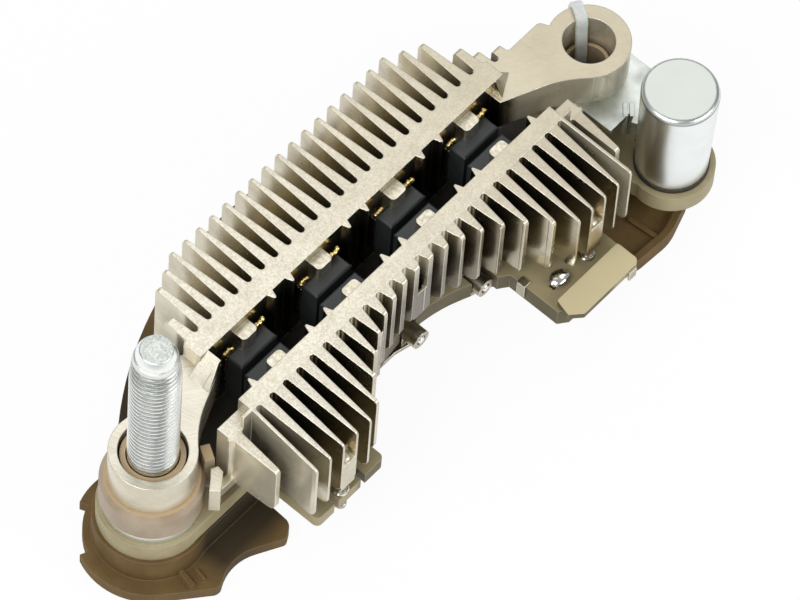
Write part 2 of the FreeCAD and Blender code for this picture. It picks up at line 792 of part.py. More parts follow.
def insulator(x, bore, top, height):
    """Stepped insulating washer: a narrower lip on a wide body."""
    body = rod(x, 0, insulator_radius, top - height, top - insulator_lip_height)
    lip = Part.makeCone(insulator_radius, insulator_lip_radius, insulator_lip_height,
                        Vector(x, 0, top - insulator_lip_height))
    return joined(body, lip).cut(rod(x, 0, bore, top - height - 1, top + 1))


def stud_insulator():
    washer = insulator(0, stud_shank_radius + running_clearance, arm_bottom, insulator_height)
    key = block(key_inner_radius, key_outer_radius, -key_width / 2.0, key_width / 2.0,
                ring_top, arm_bottom + key_height)
    key.rotate(Vector(0, 0, 0), Vector(0, 0, 1), key_angle)
    return washer.fuse(key).removeSplitter()


def eyelet_bush():
    low = ring_top
    return ring(mount_spacing, 0, eyelet_bush_radius, through_bolt_radius, low,
                arm_top - eyelet_bush_drop)


def strap_plan():
    """Plan of the capacitor's strap: round under the eyelet, then straight to the can."""
    end = can_offset_y + can_foot_radius - strap_thickness / 10.0
    corner_radius = 1.5 * strap_thickness
    left = mount_spacing - strap_half_width
    right = mount_spacing + strap_half_width
    return outline([(left, 0.0, 0), (left, end, corner_radius),
                    (right, end, corner_radius), (right, 0.0, 0)])


def capacitor_strap():
    low = arm_bottom - strap_thickness
    eye = rod(mount_spacing, 0, strap_half_width, low, arm_bottom)
    plate = slab(strap_plan(), low, arm_bottom).fuse(eye)
    band_inner = can_radius_at(arm_bottom) + 0.1
    band_outer = band_inner + strap_thickness
    plate = plate.cut(rod(can_x, can_offset_y, band_inner, low - 1, arm_bottom + 1))
    band = ring(can_x, can_offset_y, band_outer, band_inner, arm_bottom - strap_band_height, arm_bottom)
    sector = slab(polygon((can_x, can_offset_y),
                          (can_x - 0.9 * band_outer, can_offset_y + 1.9 * band_outer),
                          (can_x + 1.6 * band_outer, can_offset_y + 1.9 * band_outer)), 0, arm_bottom)
    band = band.common(sector)
    corner_left, corner_front = strap_corner
    plate = plate.cut(block(can_x - 2.0 * strap_half_width, can_x - corner_left,
                            can_offset_y, can_offset_y + corner_front, low - 1, arm_bottom + 1))
    ears = []
    ear_top = arm_bottom + strap_ear_rise
    for count in range(2):
        near = band_inner + 0.1 + count * (strap_ear_thickness + strap_ear_gap)
        ear = block(near, near + strap_ear_thickness, -strap_ear_start - strap_ear_width, -strap_ear_start,
                    ear_top - strap_ear_height, ear_top)
        ear.rotate(Vector(0, 0, 0), Vector(0, 0, 1), strap_ear_angle)
        ear.translate(Vector(can_x, can_offset_y, 0))
        ears.append(ear)
    bore = rod(mount_spacing, 0, eyelet_bore_radius, low - 1, arm_bottom + 1)
    return plate.fuse([band] + ears).cut(bore).removeSplitter()


def can_radius_at(height):
    """The can narrows a little towards its foot."""
    foot = board_top + seal_height
    share = (height - foot) / can_height
    return can_foot_radius + share * (can_top_radius - can_foot_radius)


def capacitor_can():
    foot = board_top + seal_height
    top = foot + can_height
    edge_x = can_radius_at(top - can_edge_radius)
    corner = Vector(edge_x - can_edge_radius * 0.293, 0, top - can_edge_radius * 0.293)
    inner = Vector(edge_x - can_edge_radius, 0, top)
    start = Vector(edge_x, 0, top - can_edge_radius)
    edges = [
        Part.makeLine(Vector(0, 0, foot), Vector(can_foot_radius, 0, foot)),
        Part.makeLine(Vector(can_foot_radius, 0, foot), start),
        Part.Arc(start, corner, inner).toShape(),
        Part.makeLine(inner, Vector(0, 0, top)),
        Part.makeLine(Vector(0, 0, top), Vector(0, 0, foot)),
    ]
    can = Part.Face(Part.Wire(edges)).revolve(Vector(0, 0, 0), Vector(0, 0, 1), 360)
    can.translate(Vector(can_x, can_offset_y, 0))
    return can


def capacitor_seal():
    return rod(can_x, can_offset_y, seal_radius, board_top, board_top + seal_height)


def capacitor_lead():
    low = flange_thickness + 3.0
    return rod(can_x, can_offset_y, lead_radius, low, board_top)


def diode_case(x, side):
    """Moulded diode body with bevelled upper edges; side is +1 for the positive row."""
    low = sink_bottom + 0.2
    near = case_gap / 2.0
    far = near + case_depth
    y_low, y_high = (near, far) if side > 0 else (-far, -near)
    body = block(x - case_width / 2.0, x + case_width / 2.0, y_low, y_high, low, low + case_height)
    top = [edge for edge in body.Edges if edge.BoundBox.ZMin > low + case_height - 0.01]
    return body.makeChamfer(case_bevel / 2.0, top)


def diode_slug(x, side):
    """Metal slug soldered to the channel wall, with the tab that stands above the case."""
    low = sink_bottom + 1.0
    near = case_gap / 2.0 + case_depth
    top = sink_bottom + 0.2 + case_height + tab_rise
    plate = slab(outline([(x - slug_width / 2.0, near, 0), (x + slug_width / 2.0, near, 0),
                          (x + slug_width / 2.0, channel_half, 0), (x - slug_width / 2.0, channel_half, 0)]),
                 low, low + slug_height)
    neck = block(x - tab_width / 2.0, x + tab_width / 2.0, near, channel_half, low, top)
    head = slab(outline([(x - tab_width / 2.0, channel_half - tab_depth, tab_radius),
                         (x + tab_width / 2.0, channel_half - tab_depth, tab_radius),
                         (x + tab_width / 2.0, channel_half, 0), (x - tab_width / 2.0, channel_half, 0)]),
                top - tab_rise, top)
    slug = joined(plate, neck, head)
    if side < 0:
        slug = slug.mirror(Vector(0, 0, 0), Vector(0, 1, 0))
    return slug


def diode_prongs(x):
    """The two contact prongs behind the upper corners of a case, beside the channel wall."""
    low = sink_bottom + 0.2 + case_height - prong_hold
    near = case_gap / 2.0 + case_depth
    prongs = []
    for centre in (x - case_width / 2.0 + 0.1, x + case_width / 2.0 - 1.5 * prong_size):
        prongs.append(block(centre - prong_size / 2.0, centre + prong_size / 2.0, near, near + prong_size,
                            low, low + prong_hold + prong_rise))
    return prongs


def diode_leads(side):
    low = cover_height - conductor_clearance
    high = sink_bottom + 0.2
    return Part.makeCompound([rod(x, y, lead_radius, low, high) for x, y in lead_places() if y * side > 0])


def edge_contact():
    """Small metal clips: one folded over the board's left edge, one on the tab's front."""
    x = tab_plate_left
    y = -0.169 * mount_spacing
    top = board_top + clip_thickness
    upper = block(x - clip_thickness, x + clip_reach, y, y + clip_width, board_top, top)
    side = block(x - clip_thickness, x, y, y + clip_width, cover_height + 1.0, top)
    flap_top = board_top + tab_plate_height
    right = tab_plate_right - 1.2
    front = block(right - clip_width, right, -tab_plate_front - clip_thickness, -tab_plate_front,
                  flap_top - 2.0 * tab_plate_thickness, flap_top - 0.3)
    return Part.makeCompound([joined(upper, side), front])


save(base_cover(), "base_cover")
save(terminal_board(), "terminal_board")
save(positive_heat_sink(), "positive_heat_sink")
save(negative_heat_sink(), "negative_heat_sink")
save(sink_rivets(), "sink_rivets")
save(terminal_stud(), "terminal_stud")
save(stud_bush(), "stud_bush")
save(stud_insulator(), "stud_insulator")
save(ring(0, 0, contact_ring_radius, stud_shank_radius + running_clearance, board_top, ring_top),
     "stud_contact_ring")
save(eyelet_bush(), "eyelet_bush")
save(insulator(mount_spacing, eyelet_bush_radius + 0.05, arm_bottom - strap_thickness,
               insulator_height - strap_thickness), "eyelet_insulator")
save(ring(mount_spacing, 0, contact_ring_radius, through_bolt_radius, board_top, ring_top),
     "eyelet_contact_ring")
save(capacitor_strap(), "capacitor_strap")
save(capacitor_can(), "capacitor_can")
save(capacitor_seal(), "capacitor_seal")
save(capacitor_lead(), "capacitor_lead")
save(edge_contact(), "board_edge_contact")
for number, run in enumerate(conductor_runs(), start=1):
    save(phase_conductor(run), "phase_conductor_%d" % number)
rows = (("positive", 1.0, middle_x), ("negative", -1.0, negative_middle))
for row, side, middle in rows:
    for number, offset in enumerate(diode_offsets, start=1):
        save(diode_case(middle + offset, side), "%s_diode_%d" % (row, number))
        save(diode_slug(middle + offset, side), "%s_diode_slug_%d" % (row, number))
    save(diode_leads(side), "%s_diode_leads" % row)
prongs = []
for offset in diode_offsets:
    prongs += diode_prongs(middle_x + offset)
save(Part.makeCompound(prongs), "diode_prongs")
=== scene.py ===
# %% [markdown] Alternator rectifier, built as a lesson. The real one turns alternating current into direct current with eight moulded diodes between two finned castings, on a moulded board over a cover. So the model is loaded, and the lesson spends its steps on finishes and fine detail.

# %% Load the frame
import json
import math
import random

import bmesh
import bpy
from mathutils import Matrix, Vector


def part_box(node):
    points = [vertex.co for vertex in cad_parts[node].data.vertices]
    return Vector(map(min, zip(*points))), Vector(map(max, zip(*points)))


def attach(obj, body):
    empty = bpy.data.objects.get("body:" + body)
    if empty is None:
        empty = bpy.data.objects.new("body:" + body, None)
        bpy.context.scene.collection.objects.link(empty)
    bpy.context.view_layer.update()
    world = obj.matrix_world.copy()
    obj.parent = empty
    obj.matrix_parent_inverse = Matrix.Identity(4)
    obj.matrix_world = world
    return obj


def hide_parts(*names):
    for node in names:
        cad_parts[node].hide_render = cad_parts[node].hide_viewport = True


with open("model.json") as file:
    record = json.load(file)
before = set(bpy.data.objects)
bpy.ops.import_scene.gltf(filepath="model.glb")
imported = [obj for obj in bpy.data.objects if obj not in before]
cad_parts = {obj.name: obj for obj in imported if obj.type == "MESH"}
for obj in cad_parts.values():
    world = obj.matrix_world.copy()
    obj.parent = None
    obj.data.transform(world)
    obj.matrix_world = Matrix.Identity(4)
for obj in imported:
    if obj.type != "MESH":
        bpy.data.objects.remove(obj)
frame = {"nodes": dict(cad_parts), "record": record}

random.seed(7)
nodes = frame["nodes"]
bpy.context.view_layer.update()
print("pieces from the model:", len(nodes))

# %% [markdown]
# A finish in Blender is a graph of small nodes. They could be placed by hand, or each typed out
# in four lines. A small class keeps a node to one short call, so that the recipes further down
# read like sentences. Its fade() is used most: it turns a place or a tone into a soft mask.

# %% A helper that places and wires nodes
MIX_A, MIX_B, MIX_RESULT = 6, 7, 2  # the Mix node's colour sockets


class Graph:
    """Adds nodes to a tree and wires them with short calls."""

    def __init__(self, tree):
        self.tree = tree

    def add(self, kind, props=None, **sockets):
        node = self.tree.nodes.new(kind)
        for key, value in (props or {}).items():
            setattr(node, key, value)
        for key, value in sockets.items():
            self.put(node.inputs[key], value)
        return node

    def put(self, socket, value):
        """Links another node's output to the socket, or sets the socket's own value."""
        if isinstance(value, bpy.types.NodeSocket):
            self.tree.links.new(value, socket)
        else:
            socket.default_value = value

    def math(self, operation, *values, clamp=False):
        node = self.add("ShaderNodeMath", {"operation": operation, "use_clamp": clamp})
        for socket, value in zip(node.inputs, values):
            self.put(socket, value)
        return node.outputs[0]

    def plus(self, a, b):
        return self.math("ADD", a, b)

    def minus(self, a, b, clamp=False):
        return self.math("SUBTRACT", a, b, clamp=clamp)

    def times(self, a, b, clamp=False):
        return self.math("MULTIPLY", a, b, clamp=clamp)

    def opposite(self, mask):
        return self.minus(1.0, mask)

    def mix(self, factor, a, b):
        """Blends from colour a to colour b; each is an output or (red, green, blue)."""
        node = self.add("ShaderNodeMix", {"data_type": "RGBA"}, Factor=factor)
        for index, value in ((MIX_A, a), (MIX_B, b)):
            if not isinstance(value, bpy.types.NodeSocket):
                value = (*value, 1.0)
            self.put(node.inputs[index], value)
        return node.outputs[MIX_RESULT]

    def fade(self, value, none, full, most=1.0):
        """A mask that is 0 where the value is none, and grows to most where it is full."""
        node = self.add("ShaderNodeMapRange")
        for socket, number in zip(node.inputs, (value, none, full, 0.0, most)):
            self.put(socket, number)
        return node.outputs[0]

    def noise(self, vector, scale, detail=3.0, rough=0.6):
        node = self.add("ShaderNodeTexNoise", Vector=vector, Scale=scale, Detail=detail,
                        Roughness=rough)
        return node.outputs["Fac"]

    def place(self):
        """The piece's own coordinates, in metres."""
        return self.add("ShaderNodeTexCoord").outputs["Object"]

    def split(self, vector):
        """The vector's X, Y and Z."""
        return self.add("ShaderNodeSeparateXYZ", Vector=vector).outputs


print("graph helpers:", [name for name in vars(Graph) if not name.startswith("_")])

# %% [markdown]
# Grain, tool lines, worn edges and finger marks show on many pieces. Their nodes could be copied
# into each material, but then a change has to be made many times. A node group holds an effect
# once, with named inputs and outputs, and each material places it with its own values.
#
# Cast grain is the first: the sandy skin that a mould leaves, fine grains with a few larger soft
# dents. Real bumps would cost millions of faces. Two noises, one fine and one coarse, give the
# same look in the shading. A Fineness of 2500 gives grains of about 0.4 mm.

# %% Cast grain
FLOAT = "NodeSocketFloat"
VECTOR = "NodeSocketVector"
COARSE_SCALE = 900.0
FINE_RELIEF, COARSE_RELIEF = 0.7, 0.6
FINE_TONE, COARSE_TONE = 0.78, 0.22


def new_group(name, inputs, outputs):
    """An empty node group; returns its graph, its given sockets and its result sockets."""
    tree = bpy.data.node_groups.new(name, "ShaderNodeTree")
    for label, kind, value in inputs:
        socket = tree.interface.new_socket(label, in_out="INPUT", socket_type=kind)
        socket.default_value = value
    for label, kind in outputs:
        tree.interface.new_socket(label, in_out="OUTPUT", socket_type=kind)
    given = tree.nodes.new("NodeGroupInput").outputs
    result = tree.nodes.new("NodeGroupOutput").inputs
    return Graph(tree), given, result


g, given, result = new_group("cast grain", [("Fineness", FLOAT, 2600.0)],
                             [("Height", FLOAT), ("Tone", FLOAT)])
spot = g.place()
fine = g.noise(spot, given["Fineness"], detail=4.0, rough=0.7)
coarse = g.noise(spot, COARSE_SCALE)
g.put(result["Height"], g.plus(g.times(fine, FINE_RELIEF), g.times(coarse, COARSE_RELIEF)))
g.put(result["Tone"], g.plus(g.times(fine, FINE_TONE), g.times(coarse, COARSE_TONE)))
print("cast grain nodes:", len(g.tree.nodes))

# %% [markdown]
# Machined lines are the close parallel marks of a cutter or a brush. A wave texture would make
# them too regular, so a noise is stretched: a large value in Stretch packs the lines along that
# axis, and Turn sets their direction.

# %% Machined lines
g, given, result = new_group(
    "machined lines", [("Stretch", VECTOR, (1.0, 1.0, 1.0)), ("Turn", VECTOR, (0.0, 0.0, 0.0))],
    [("Height", FLOAT), ("Tone", FLOAT)])
turned = g.add("ShaderNodeMapping", Vector=g.place(), Rotation=given["Turn"])
spread = g.add("ShaderNodeMapping", Vector=turned.outputs[0], Scale=given["Stretch"])
lines = g.noise(spread.outputs[0], 1.0, rough=0.65)
g.put(result["Height"], lines)
g.put(result["Tone"], g.fade(lines, none=0.3, full=0.7))
print("machined lines nodes:", len(g.tree.nodes))

# %% [markdown]
# Worn edges are the bright rubbed corners of handled parts. Real bevels on each edge would
# multiply the faces, so the Bevel node rounds them in the shading only. Where its normal leans
# away from the face's own one there is an edge, and that lean becomes the mask.

# %% Worn edges
g, given, result = new_group("worn edges", [("Width", FLOAT, 0.0002)],
                             [("Edge", FLOAT), ("Normal", VECTOR)])
bevel = g.add("ShaderNodeBevel", {"samples": 6}, Radius=given["Width"])
truth = g.add("ShaderNodeNewGeometry")
lean = g.add("ShaderNodeVectorMath", {"operation": "DOT_PRODUCT"})
g.put(lean.inputs[0], bevel.outputs[0])
g.put(lean.inputs[1], truth.outputs["Normal"])
g.put(result["Edge"], g.fade(lean.outputs["Value"], none=0.995, full=0.85))
g.put(result["Normal"], bevel.outputs[0])
print("worn edges nodes:", len(g.tree.nodes))

# %% [markdown]
# Handling marks are the soft smudges that fingers and packing leave. One slow noise is cut off
# below its middle, so that clean areas stay between the smudges.

# %% Handling marks
SMUDGE_SCALE = 160.0

g, given, result = new_group("handling marks", [("Amount", FLOAT, 0.5)], [("Smudge", FLOAT)])
cloud = g.noise(g.place(), SMUDGE_SCALE, detail=4.0)
g.put(result["Smudge"], g.times(g.fade(cloud, none=0.4, full=0.65), given["Amount"]))
print("handling marks nodes:", len(g.tree.nodes))

# %% [markdown]
# Castings and mouldings look different on top and on their walls. The tops could get a second
# material face by face. A mask from the face's true direction does it without choosing faces,
# and the point's height comes with it.

# %% Upward faces
g, given, result = new_group("upward faces", [], [("Up", FLOAT), ("Height", FLOAT)])
facing = g.split(g.add("ShaderNodeNewGeometry").outputs["True Normal"])
g.put(result["Up"], g.fade(facing["Z"], none=0.55, full=0.9))
g.put(result["Height"], g.split(g.place())["Z"])
print("shared effects:", sorted(tree.name for tree in bpy.data.node_groups))

# %% [markdown]
# Every finish below ends in the same few sockets of the Principled shader. Short helpers start a
# material, place a shared effect in it, wire those sockets, lay rubbed edges and marks over it,
# and add relief through a Bump node, which is lighter than moving the surface itself.

# %% Helpers for materials


def start_material(name):
    """A material with a Principled shader; returns it with its graph and the shader node."""
    material = bpy.data.materials.new(name)
    material.use_nodes = True
    return material, Graph(material.node_tree), material.node_tree.nodes["Principled BSDF"]


def use_group(graph, name, **values):
    """Places a shared effect in a material and returns its outputs."""
    group = {"node_tree": bpy.data.node_groups[name]}
    return graph.add("ShaderNodeGroup", group, **values).outputs


def set_surface(graph, shader, color, roughness, normal, metallic=1.0):
    results = {"Base Color": color, "Roughness": roughness, "Metallic": metallic,
               "Normal": normal}
    for label, value in results.items():
        graph.put(shader.inputs[label], value)


def bump(graph, height, normal=None, *, strength, distance=0.0001):
    node = graph.add("ShaderNodeBump", Strength=strength, Distance=distance, Height=height)
    if normal is not None:
        graph.put(node.inputs["Normal"], normal)
    return node.outputs[0]


def handled(graph, marks, clean, change):
    """Roughness of a clean surface, raised by change under the handling marks."""
    return graph.plus(clean, graph.times(marks["Smudge"], change))


def rub_edges(graph, edges, color, rubbed, share=1.0):
    """Lays the rubbed colour over the worn edges, as strongly as share says."""
    return graph.mix(graph.times(edges["Edge"], share), color, rubbed)


for tree in bpy.data.node_groups:
    sockets = tree.interface.items_tree
    print(tree.name, [socket.name for socket in sockets if socket.in_out == "INPUT"])

# %% [markdown]
# The heat sinks are champagne coloured castings. Their tops are grainy and pale, their walls are
# smoother and mirror their neighbours, and the arms' machined tops carry tool lines. All of it is
# one casting each, so it stays one material, and masks from the point's place choose the finish.
# First come the masks of the arms and of the other tops. Each pair of limits says, in metres,
# where a mask is 0 and where it is full.

# %% Heat sink: arms and tops
ROW_MIDDLE = 0.05
NEGATIVE_MIDDLE = 0.0495
ARM_BELOW_Z = 0.0272, 0.0266
ARM_BEHIND_Y = -0.0098, -0.0094
LUG_BEFORE_Y = -0.0040, -0.0044
LUG_FROM_MIDDLE = 0.0410, 0.0404

sink_metal, sink, sink_shader = start_material("Champagne cast aluminium")
grain = use_group(sink, "cast grain", Fineness=2900.0)
edges = use_group(sink, "worn edges", Width=0.00022)
marks = use_group(sink, "handling marks", Amount=0.6)
facing = use_group(sink, "upward faces")
where = sink.split(sink.place())

below_bars = sink.fade(facing["Height"], *ARM_BELOW_Z)
behind_fins = sink.fade(where["Y"], *ARM_BEHIND_Y)
from_negative_middle = sink.math("ABSOLUTE", sink.minus(where["X"], NEGATIVE_MIDDLE))
lugs = sink.times(sink.fade(where["Y"], *LUG_BEFORE_Y),
                  sink.fade(from_negative_middle, *LUG_FROM_MIDDLE))
arm = sink.times(sink.times(facing["Up"], below_bars, clamp=True), behind_fins)
arm = sink.times(arm, sink.opposite(lugs), clamp=True)
top = sink.minus(facing["Up"], arm, clamp=True)
print("sink mask nodes:", len(sink.tree.nodes))

# %% [markdown]
# Deep between the fins and inside the diode channel the walls get little light and mirror dark
# neighbours. Lamps alone leave these walls too pale, because the floor shines on them, so a second
# set of masks darkens them with depth.

# %% Heat sink: shaded walls
CHANNEL_FROM_Y = 0.0052, 0.0046
CHANNEL_FROM_MIDDLE = 0.0330, 0.0322
FIN_ROOT_FROM_Y = 0.0068, 0.0078
FIN_TIP_FROM_Y = 0.0170, 0.0080
FINS_FROM_MIDDLE = 0.0400, 0.0385
DEEP_Z = 0.0290, 0.0235
CHANNEL_SHADE, FINS_SHADE = 0.88, 0.9

from_channel = sink.math("ABSOLUTE", where["Y"])
from_middle = sink.math("ABSOLUTE", sink.minus(where["X"], ROW_MIDDLE))
in_channel = sink.times(sink.fade(from_channel, *CHANNEL_FROM_Y),
                        sink.fade(from_middle, *CHANNEL_FROM_MIDDLE))
between_fins = sink.times(sink.fade(from_channel, *FIN_ROOT_FROM_Y),
                          sink.fade(from_channel, *FIN_TIP_FROM_Y))
between_fins = sink.times(between_fins, sink.fade(from_middle, *FINS_FROM_MIDDLE))
deep = sink.fade(facing["Height"], *DEEP_Z)
shade = sink.math("MAXIMUM", sink.times(in_channel, CHANNEL_SHADE),
                  sink.times(between_fins, FINS_SHADE))
shade = sink.times(sink.times(shade, deep), sink.opposite(facing["Up"]), clamp=True)
print("sink mask nodes:", len(sink.tree.nodes))

# %% [markdown]
# The colours are laid in the order a maker would see them: bare walls, sandy tops, brushed arms,
# a duller tone toward the eyelet end, and last the rubbed edges. Two sets of tool lines cross on
# the arms, and the handling marks choose between them, so that neither looks printed.

# %% Heat sink: colours
WALL_CLEAN, WALL_HANDLED = (0.71, 0.65, 0.51), (0.49, 0.44, 0.32)
WALL_SHADED = (0.045, 0.036, 0.026)
TOP_PIT, TOP_GRAIN = (0.72, 0.65, 0.50), (1.0, 0.95, 0.82)
ARM_LINE, ARM_FACE = (0.74, 0.68, 0.55), (0.93, 0.88, 0.75)
FAR_END, FAR_END_X = (0.56, 0.49, 0.345), (0.030, 0.095)
CASTING_RUBBED = (0.96, 0.92, 0.82)

lines = use_group(sink, "machined lines", Stretch=(240.0, 6200.0, 240.0), Turn=(0.0, 0.0, 0.62))
cross = use_group(sink, "machined lines", Stretch=(5400.0, 200.0, 240.0), Turn=(0.0, 0.0, -0.25))
color = sink.mix(marks["Smudge"], WALL_CLEAN, WALL_HANDLED)
color = sink.mix(shade, color, WALL_SHADED)
grains = sink.fade(grain["Tone"], none=0.38, full=0.62)
color = sink.mix(top, color, sink.mix(grains, TOP_PIT, TOP_GRAIN))
streaks = sink.mix(sink.fade(marks["Smudge"], none=0.05, full=0.35), lines["Tone"], cross["Tone"])
color = sink.mix(arm, color, sink.mix(streaks, ARM_LINE, ARM_FACE))
far_end = sink.times(sink.fade(where["X"], *FAR_END_X, most=0.8), facing["Up"])
color = sink.mix(far_end, color, FAR_END)
color = rub_edges(sink, edges, color, CASTING_RUBBED, share=0.75)
print("sink nodes with colours:", len(sink.tree.nodes))

# %% [markdown]
# Tops are rougher than walls, and tool lines blur the arms. The arms' curved sides are less
# metallic, because a full mirror there shows only the dark room. Relief comes from the grain,
# nearly flat on the walls, and from the tool lines on the arms.

# %% Heat sink: gloss and relief
ARM_SIDE_FROM_MIDDLE = 0.0335, 0.0350
WALL_ROUGH, TOP_ADDS, MARKS_ADD, ARM_ADDS = 0.2, 0.2, 0.14, 0.12
WALL_RELIEF, TOP_RELIEF, LINE_RELIEF = 0.08, 0.9, 0.7

roughness = sink.plus(sink.times(top, TOP_ADDS), WALL_ROUGH)
roughness = sink.plus(roughness, sink.times(marks["Smudge"], MARKS_ADD))
roughness = sink.plus(roughness, sink.times(arm, ARM_ADDS))
arm_sides = sink.times(sink.fade(from_middle, *ARM_SIDE_FROM_MIDDLE, most=0.5),
                       sink.opposite(facing["Up"]))
grain_relief = sink.plus(sink.times(top, TOP_RELIEF), WALL_RELIEF)
relief = sink.plus(sink.times(grain["Height"], grain_relief),
                   sink.times(lines["Height"], sink.times(arm, LINE_RELIEF)))
set_surface(sink, sink_shader, color, roughness,
            bump(sink, relief, edges["Normal"], strength=0.5, distance=0.00012),
            metallic=sink.opposite(arm_sides))
print("finish:", sink_metal.name, len(sink.tree.nodes), "nodes")

# %% [markdown]
# Zinc plate on the contact rings is bluish white and bright, with faint lines round the ring.
# A plain metal would do from far away. Close up, the smudges and the rubbed edges tell the eye
# that it is a plated steel part.

# %% Bright zinc
ZINC_CLEAN, ZINC_HANDLED = (0.82, 0.85, 0.84), (0.70, 0.74, 0.73)
ZINC_RUBBED = (0.95, 0.96, 0.97)

zinc, g, shader = start_material("Bright zinc plate")
marks = use_group(g, "handling marks", Amount=0.5)
edges = use_group(g, "worn edges", Width=0.0001)
lines = use_group(g, "machined lines", Stretch=(500.0, 500.0, 3800.0))
color = g.mix(marks["Smudge"], ZINC_CLEAN, ZINC_HANDLED)
color = rub_edges(g, edges, color, ZINC_RUBBED, share=0.5)
set_surface(g, shader, color, handled(g, marks, clean=0.24, change=0.15),
            bump(g, lines["Height"], edges["Normal"], strength=0.12, distance=0.00005))
print("finish:", zinc.name)

# %% [markdown]
# On the stud's thread the roots get painted shade and the crests and the pilot a painted
# highlight, and its end is mottled. The crest mask could follow the mesh's vertices, but the
# distance from the stud's axis is simpler, since the axis is the frame's own Z.

# %% Zinc of the thread
CREST_FROM_AXIS = 0.00365, 0.00398
PILOT_Z = 0.0520, 0.0545
THREAD_ROOT_SHADE, THREAD_CREST_HIGHLIGHT = (0.44, 0.45, 0.41), (0.98, 0.99, 0.96)
THREAD_HANDLED, THREAD_MARKS = (0.62, 0.65, 0.62), 0.4
END_DARK, END_PALE = (0.56, 0.59, 0.54), (0.90, 0.92, 0.87)
SIDE_ROUGH, END_ADDS = 0.25, 0.2

thread_zinc, g, shader = start_material("Zinc plated thread")
marks = use_group(g, "handling marks", Amount=0.7)
grain = use_group(g, "cast grain", Fineness=2400.0)
facing = use_group(g, "upward faces")
where = g.split(g.place())
radius = g.math("SQRT", g.plus(g.math("POWER", where["X"], 2.0), g.math("POWER", where["Y"], 2.0)))
pilot = g.fade(facing["Height"], *PILOT_Z)
crest_light_mask = g.math("MAXIMUM", g.fade(radius, *CREST_FROM_AXIS), pilot)
# painted shade in the thread's roots, a painted highlight on its crests and pilot
side = g.mix(crest_light_mask, THREAD_ROOT_SHADE, THREAD_CREST_HIGHLIGHT)
side = g.mix(g.times(marks["Smudge"], THREAD_MARKS), side, THREAD_HANDLED)
end = g.mix(g.fade(grain["Tone"], none=0.40, full=0.60), END_DARK, END_PALE)
set_surface(g, shader, g.mix(facing["Up"], side, end),
            g.plus(SIDE_ROUGH, g.times(facing["Up"], END_ADDS)),
            bump(g, g.times(grain["Height"], facing["Up"]), strength=0.6, distance=0.00012))
print("finish:", thread_zinc.name)

# %% [markdown]
# The capacitor's strap is rolled sheet: duller than the rings, with broad smudges. The same zinc
# colour would shine out too strongly on a flat sheet that faces the lamp, so it has its own.

# %% Zinc of the strap
SHEET_CLEAN, SHEET_HANDLED = (0.78, 0.82, 0.77), (0.42, 0.45, 0.40)
SHEET_RUBBED = (0.86, 0.88, 0.84)

sheet_zinc, g, shader = start_material("Dull zinc sheet")
marks = use_group(g, "handling marks", Amount=0.8)
edges = use_group(g, "worn edges", Width=0.00012)
color = g.mix(marks["Smudge"], SHEET_CLEAN, SHEET_HANDLED)
color = rub_edges(g, edges, color, SHEET_RUBBED, share=0.6)
set_surface(g, shader, color, handled(g, marks, clean=0.27, change=0.15),
            bump(g, marks["Smudge"], edges["Normal"], strength=0.08))
print("finish:", sheet_zinc.name)

# %% [markdown]
# The capacitor's can is drawn from tin plate: smooth, with faint lines round its side, a duller
# end and a fine line of painted shade where the end turns into the side. It stands for the shade
# of a groove too thin to be worth modelling, so two limits of height paint it.

# %% Tin of the can
TIN_CLEAN, TIN_HANDLED = (0.90, 0.93, 0.92), (0.80, 0.83, 0.81)
TIN_END, TIN_GROOVE_SHADE = (0.65, 0.68, 0.63), (0.20, 0.20, 0.19)
LINE_ABOVE_Z, LINE_BELOW_Z = (0.03095, 0.03115), (0.03155, 0.03135)
GROOVE_SHADE_STRENGTH = 0.75

tin_can, g, shader = start_material("Drawn tin can")
marks = use_group(g, "handling marks", Amount=0.4)
edges = use_group(g, "worn edges", Width=0.0002)
lines = use_group(g, "machined lines", Stretch=(60.0, 60.0, 1500.0))
facing = use_group(g, "upward faces")
groove_shade = g.times(g.fade(facing["Height"], *LINE_ABOVE_Z), g.fade(facing["Height"], *LINE_BELOW_Z))
color = g.mix(marks["Smudge"], TIN_CLEAN, TIN_HANDLED)
color = g.mix(facing["Up"], color, TIN_END)
# painted shade of a groove where the end turns into the side
color = g.mix(g.times(groove_shade, GROOVE_SHADE_STRENGTH), color, TIN_GROOVE_SHADE)
set_surface(g, shader, color, handled(g, marks, clean=0.3, change=0.1),
            bump(g, lines["Height"], edges["Normal"], strength=0.06, distance=0.00005))
print("finish:", tin_can.name)

# %% [markdown]
# Tabs, strips, clips and rivets are tinned copper: a mottled warm grey that is darker low down,
# where the neighbours shade it. A coarse grain gives the mottling, and the point's height the
# darker part.

# %% Tinned copper
TINNED_DARK, TINNED_PALE = (0.60, 0.54, 0.40), (0.86, 0.80, 0.66)
TINNED_LOW, TINNED_RUBBED = (0.26, 0.24, 0.17), (0.94, 0.91, 0.82)
TINNED_LOW_Z = 0.0150, 0.0130

tinned, g, shader = start_material("Tinned copper")
marks = use_group(g, "handling marks", Amount=0.7)
edges = use_group(g, "worn edges", Width=0.00018)
grain = use_group(g, "cast grain", Fineness=1500.0)
height = use_group(g, "upward faces")["Height"]
color = g.mix(g.fade(grain["Tone"], none=0.42, full=0.58), TINNED_DARK, TINNED_PALE)
color = g.mix(g.fade(height, *TINNED_LOW_Z, most=0.6), color, TINNED_LOW)
color = rub_edges(g, edges, color, TINNED_RUBBED)
set_surface(g, shader, color, handled(g, marks, clean=0.28, change=0.2),
            bump(g, grain["Height"], edges["Normal"], strength=0.2))
print("finish:", tinned.name)

# %% [markdown]
# Solder freezes with a bright, slightly wavy skin. Low roughness does most of it, and the smudges
# serve as waves too.

# %% Solder
SOLDER_BRIGHT, SOLDER_DULL = (0.93, 0.92, 0.88), (0.74, 0.72, 0.66)

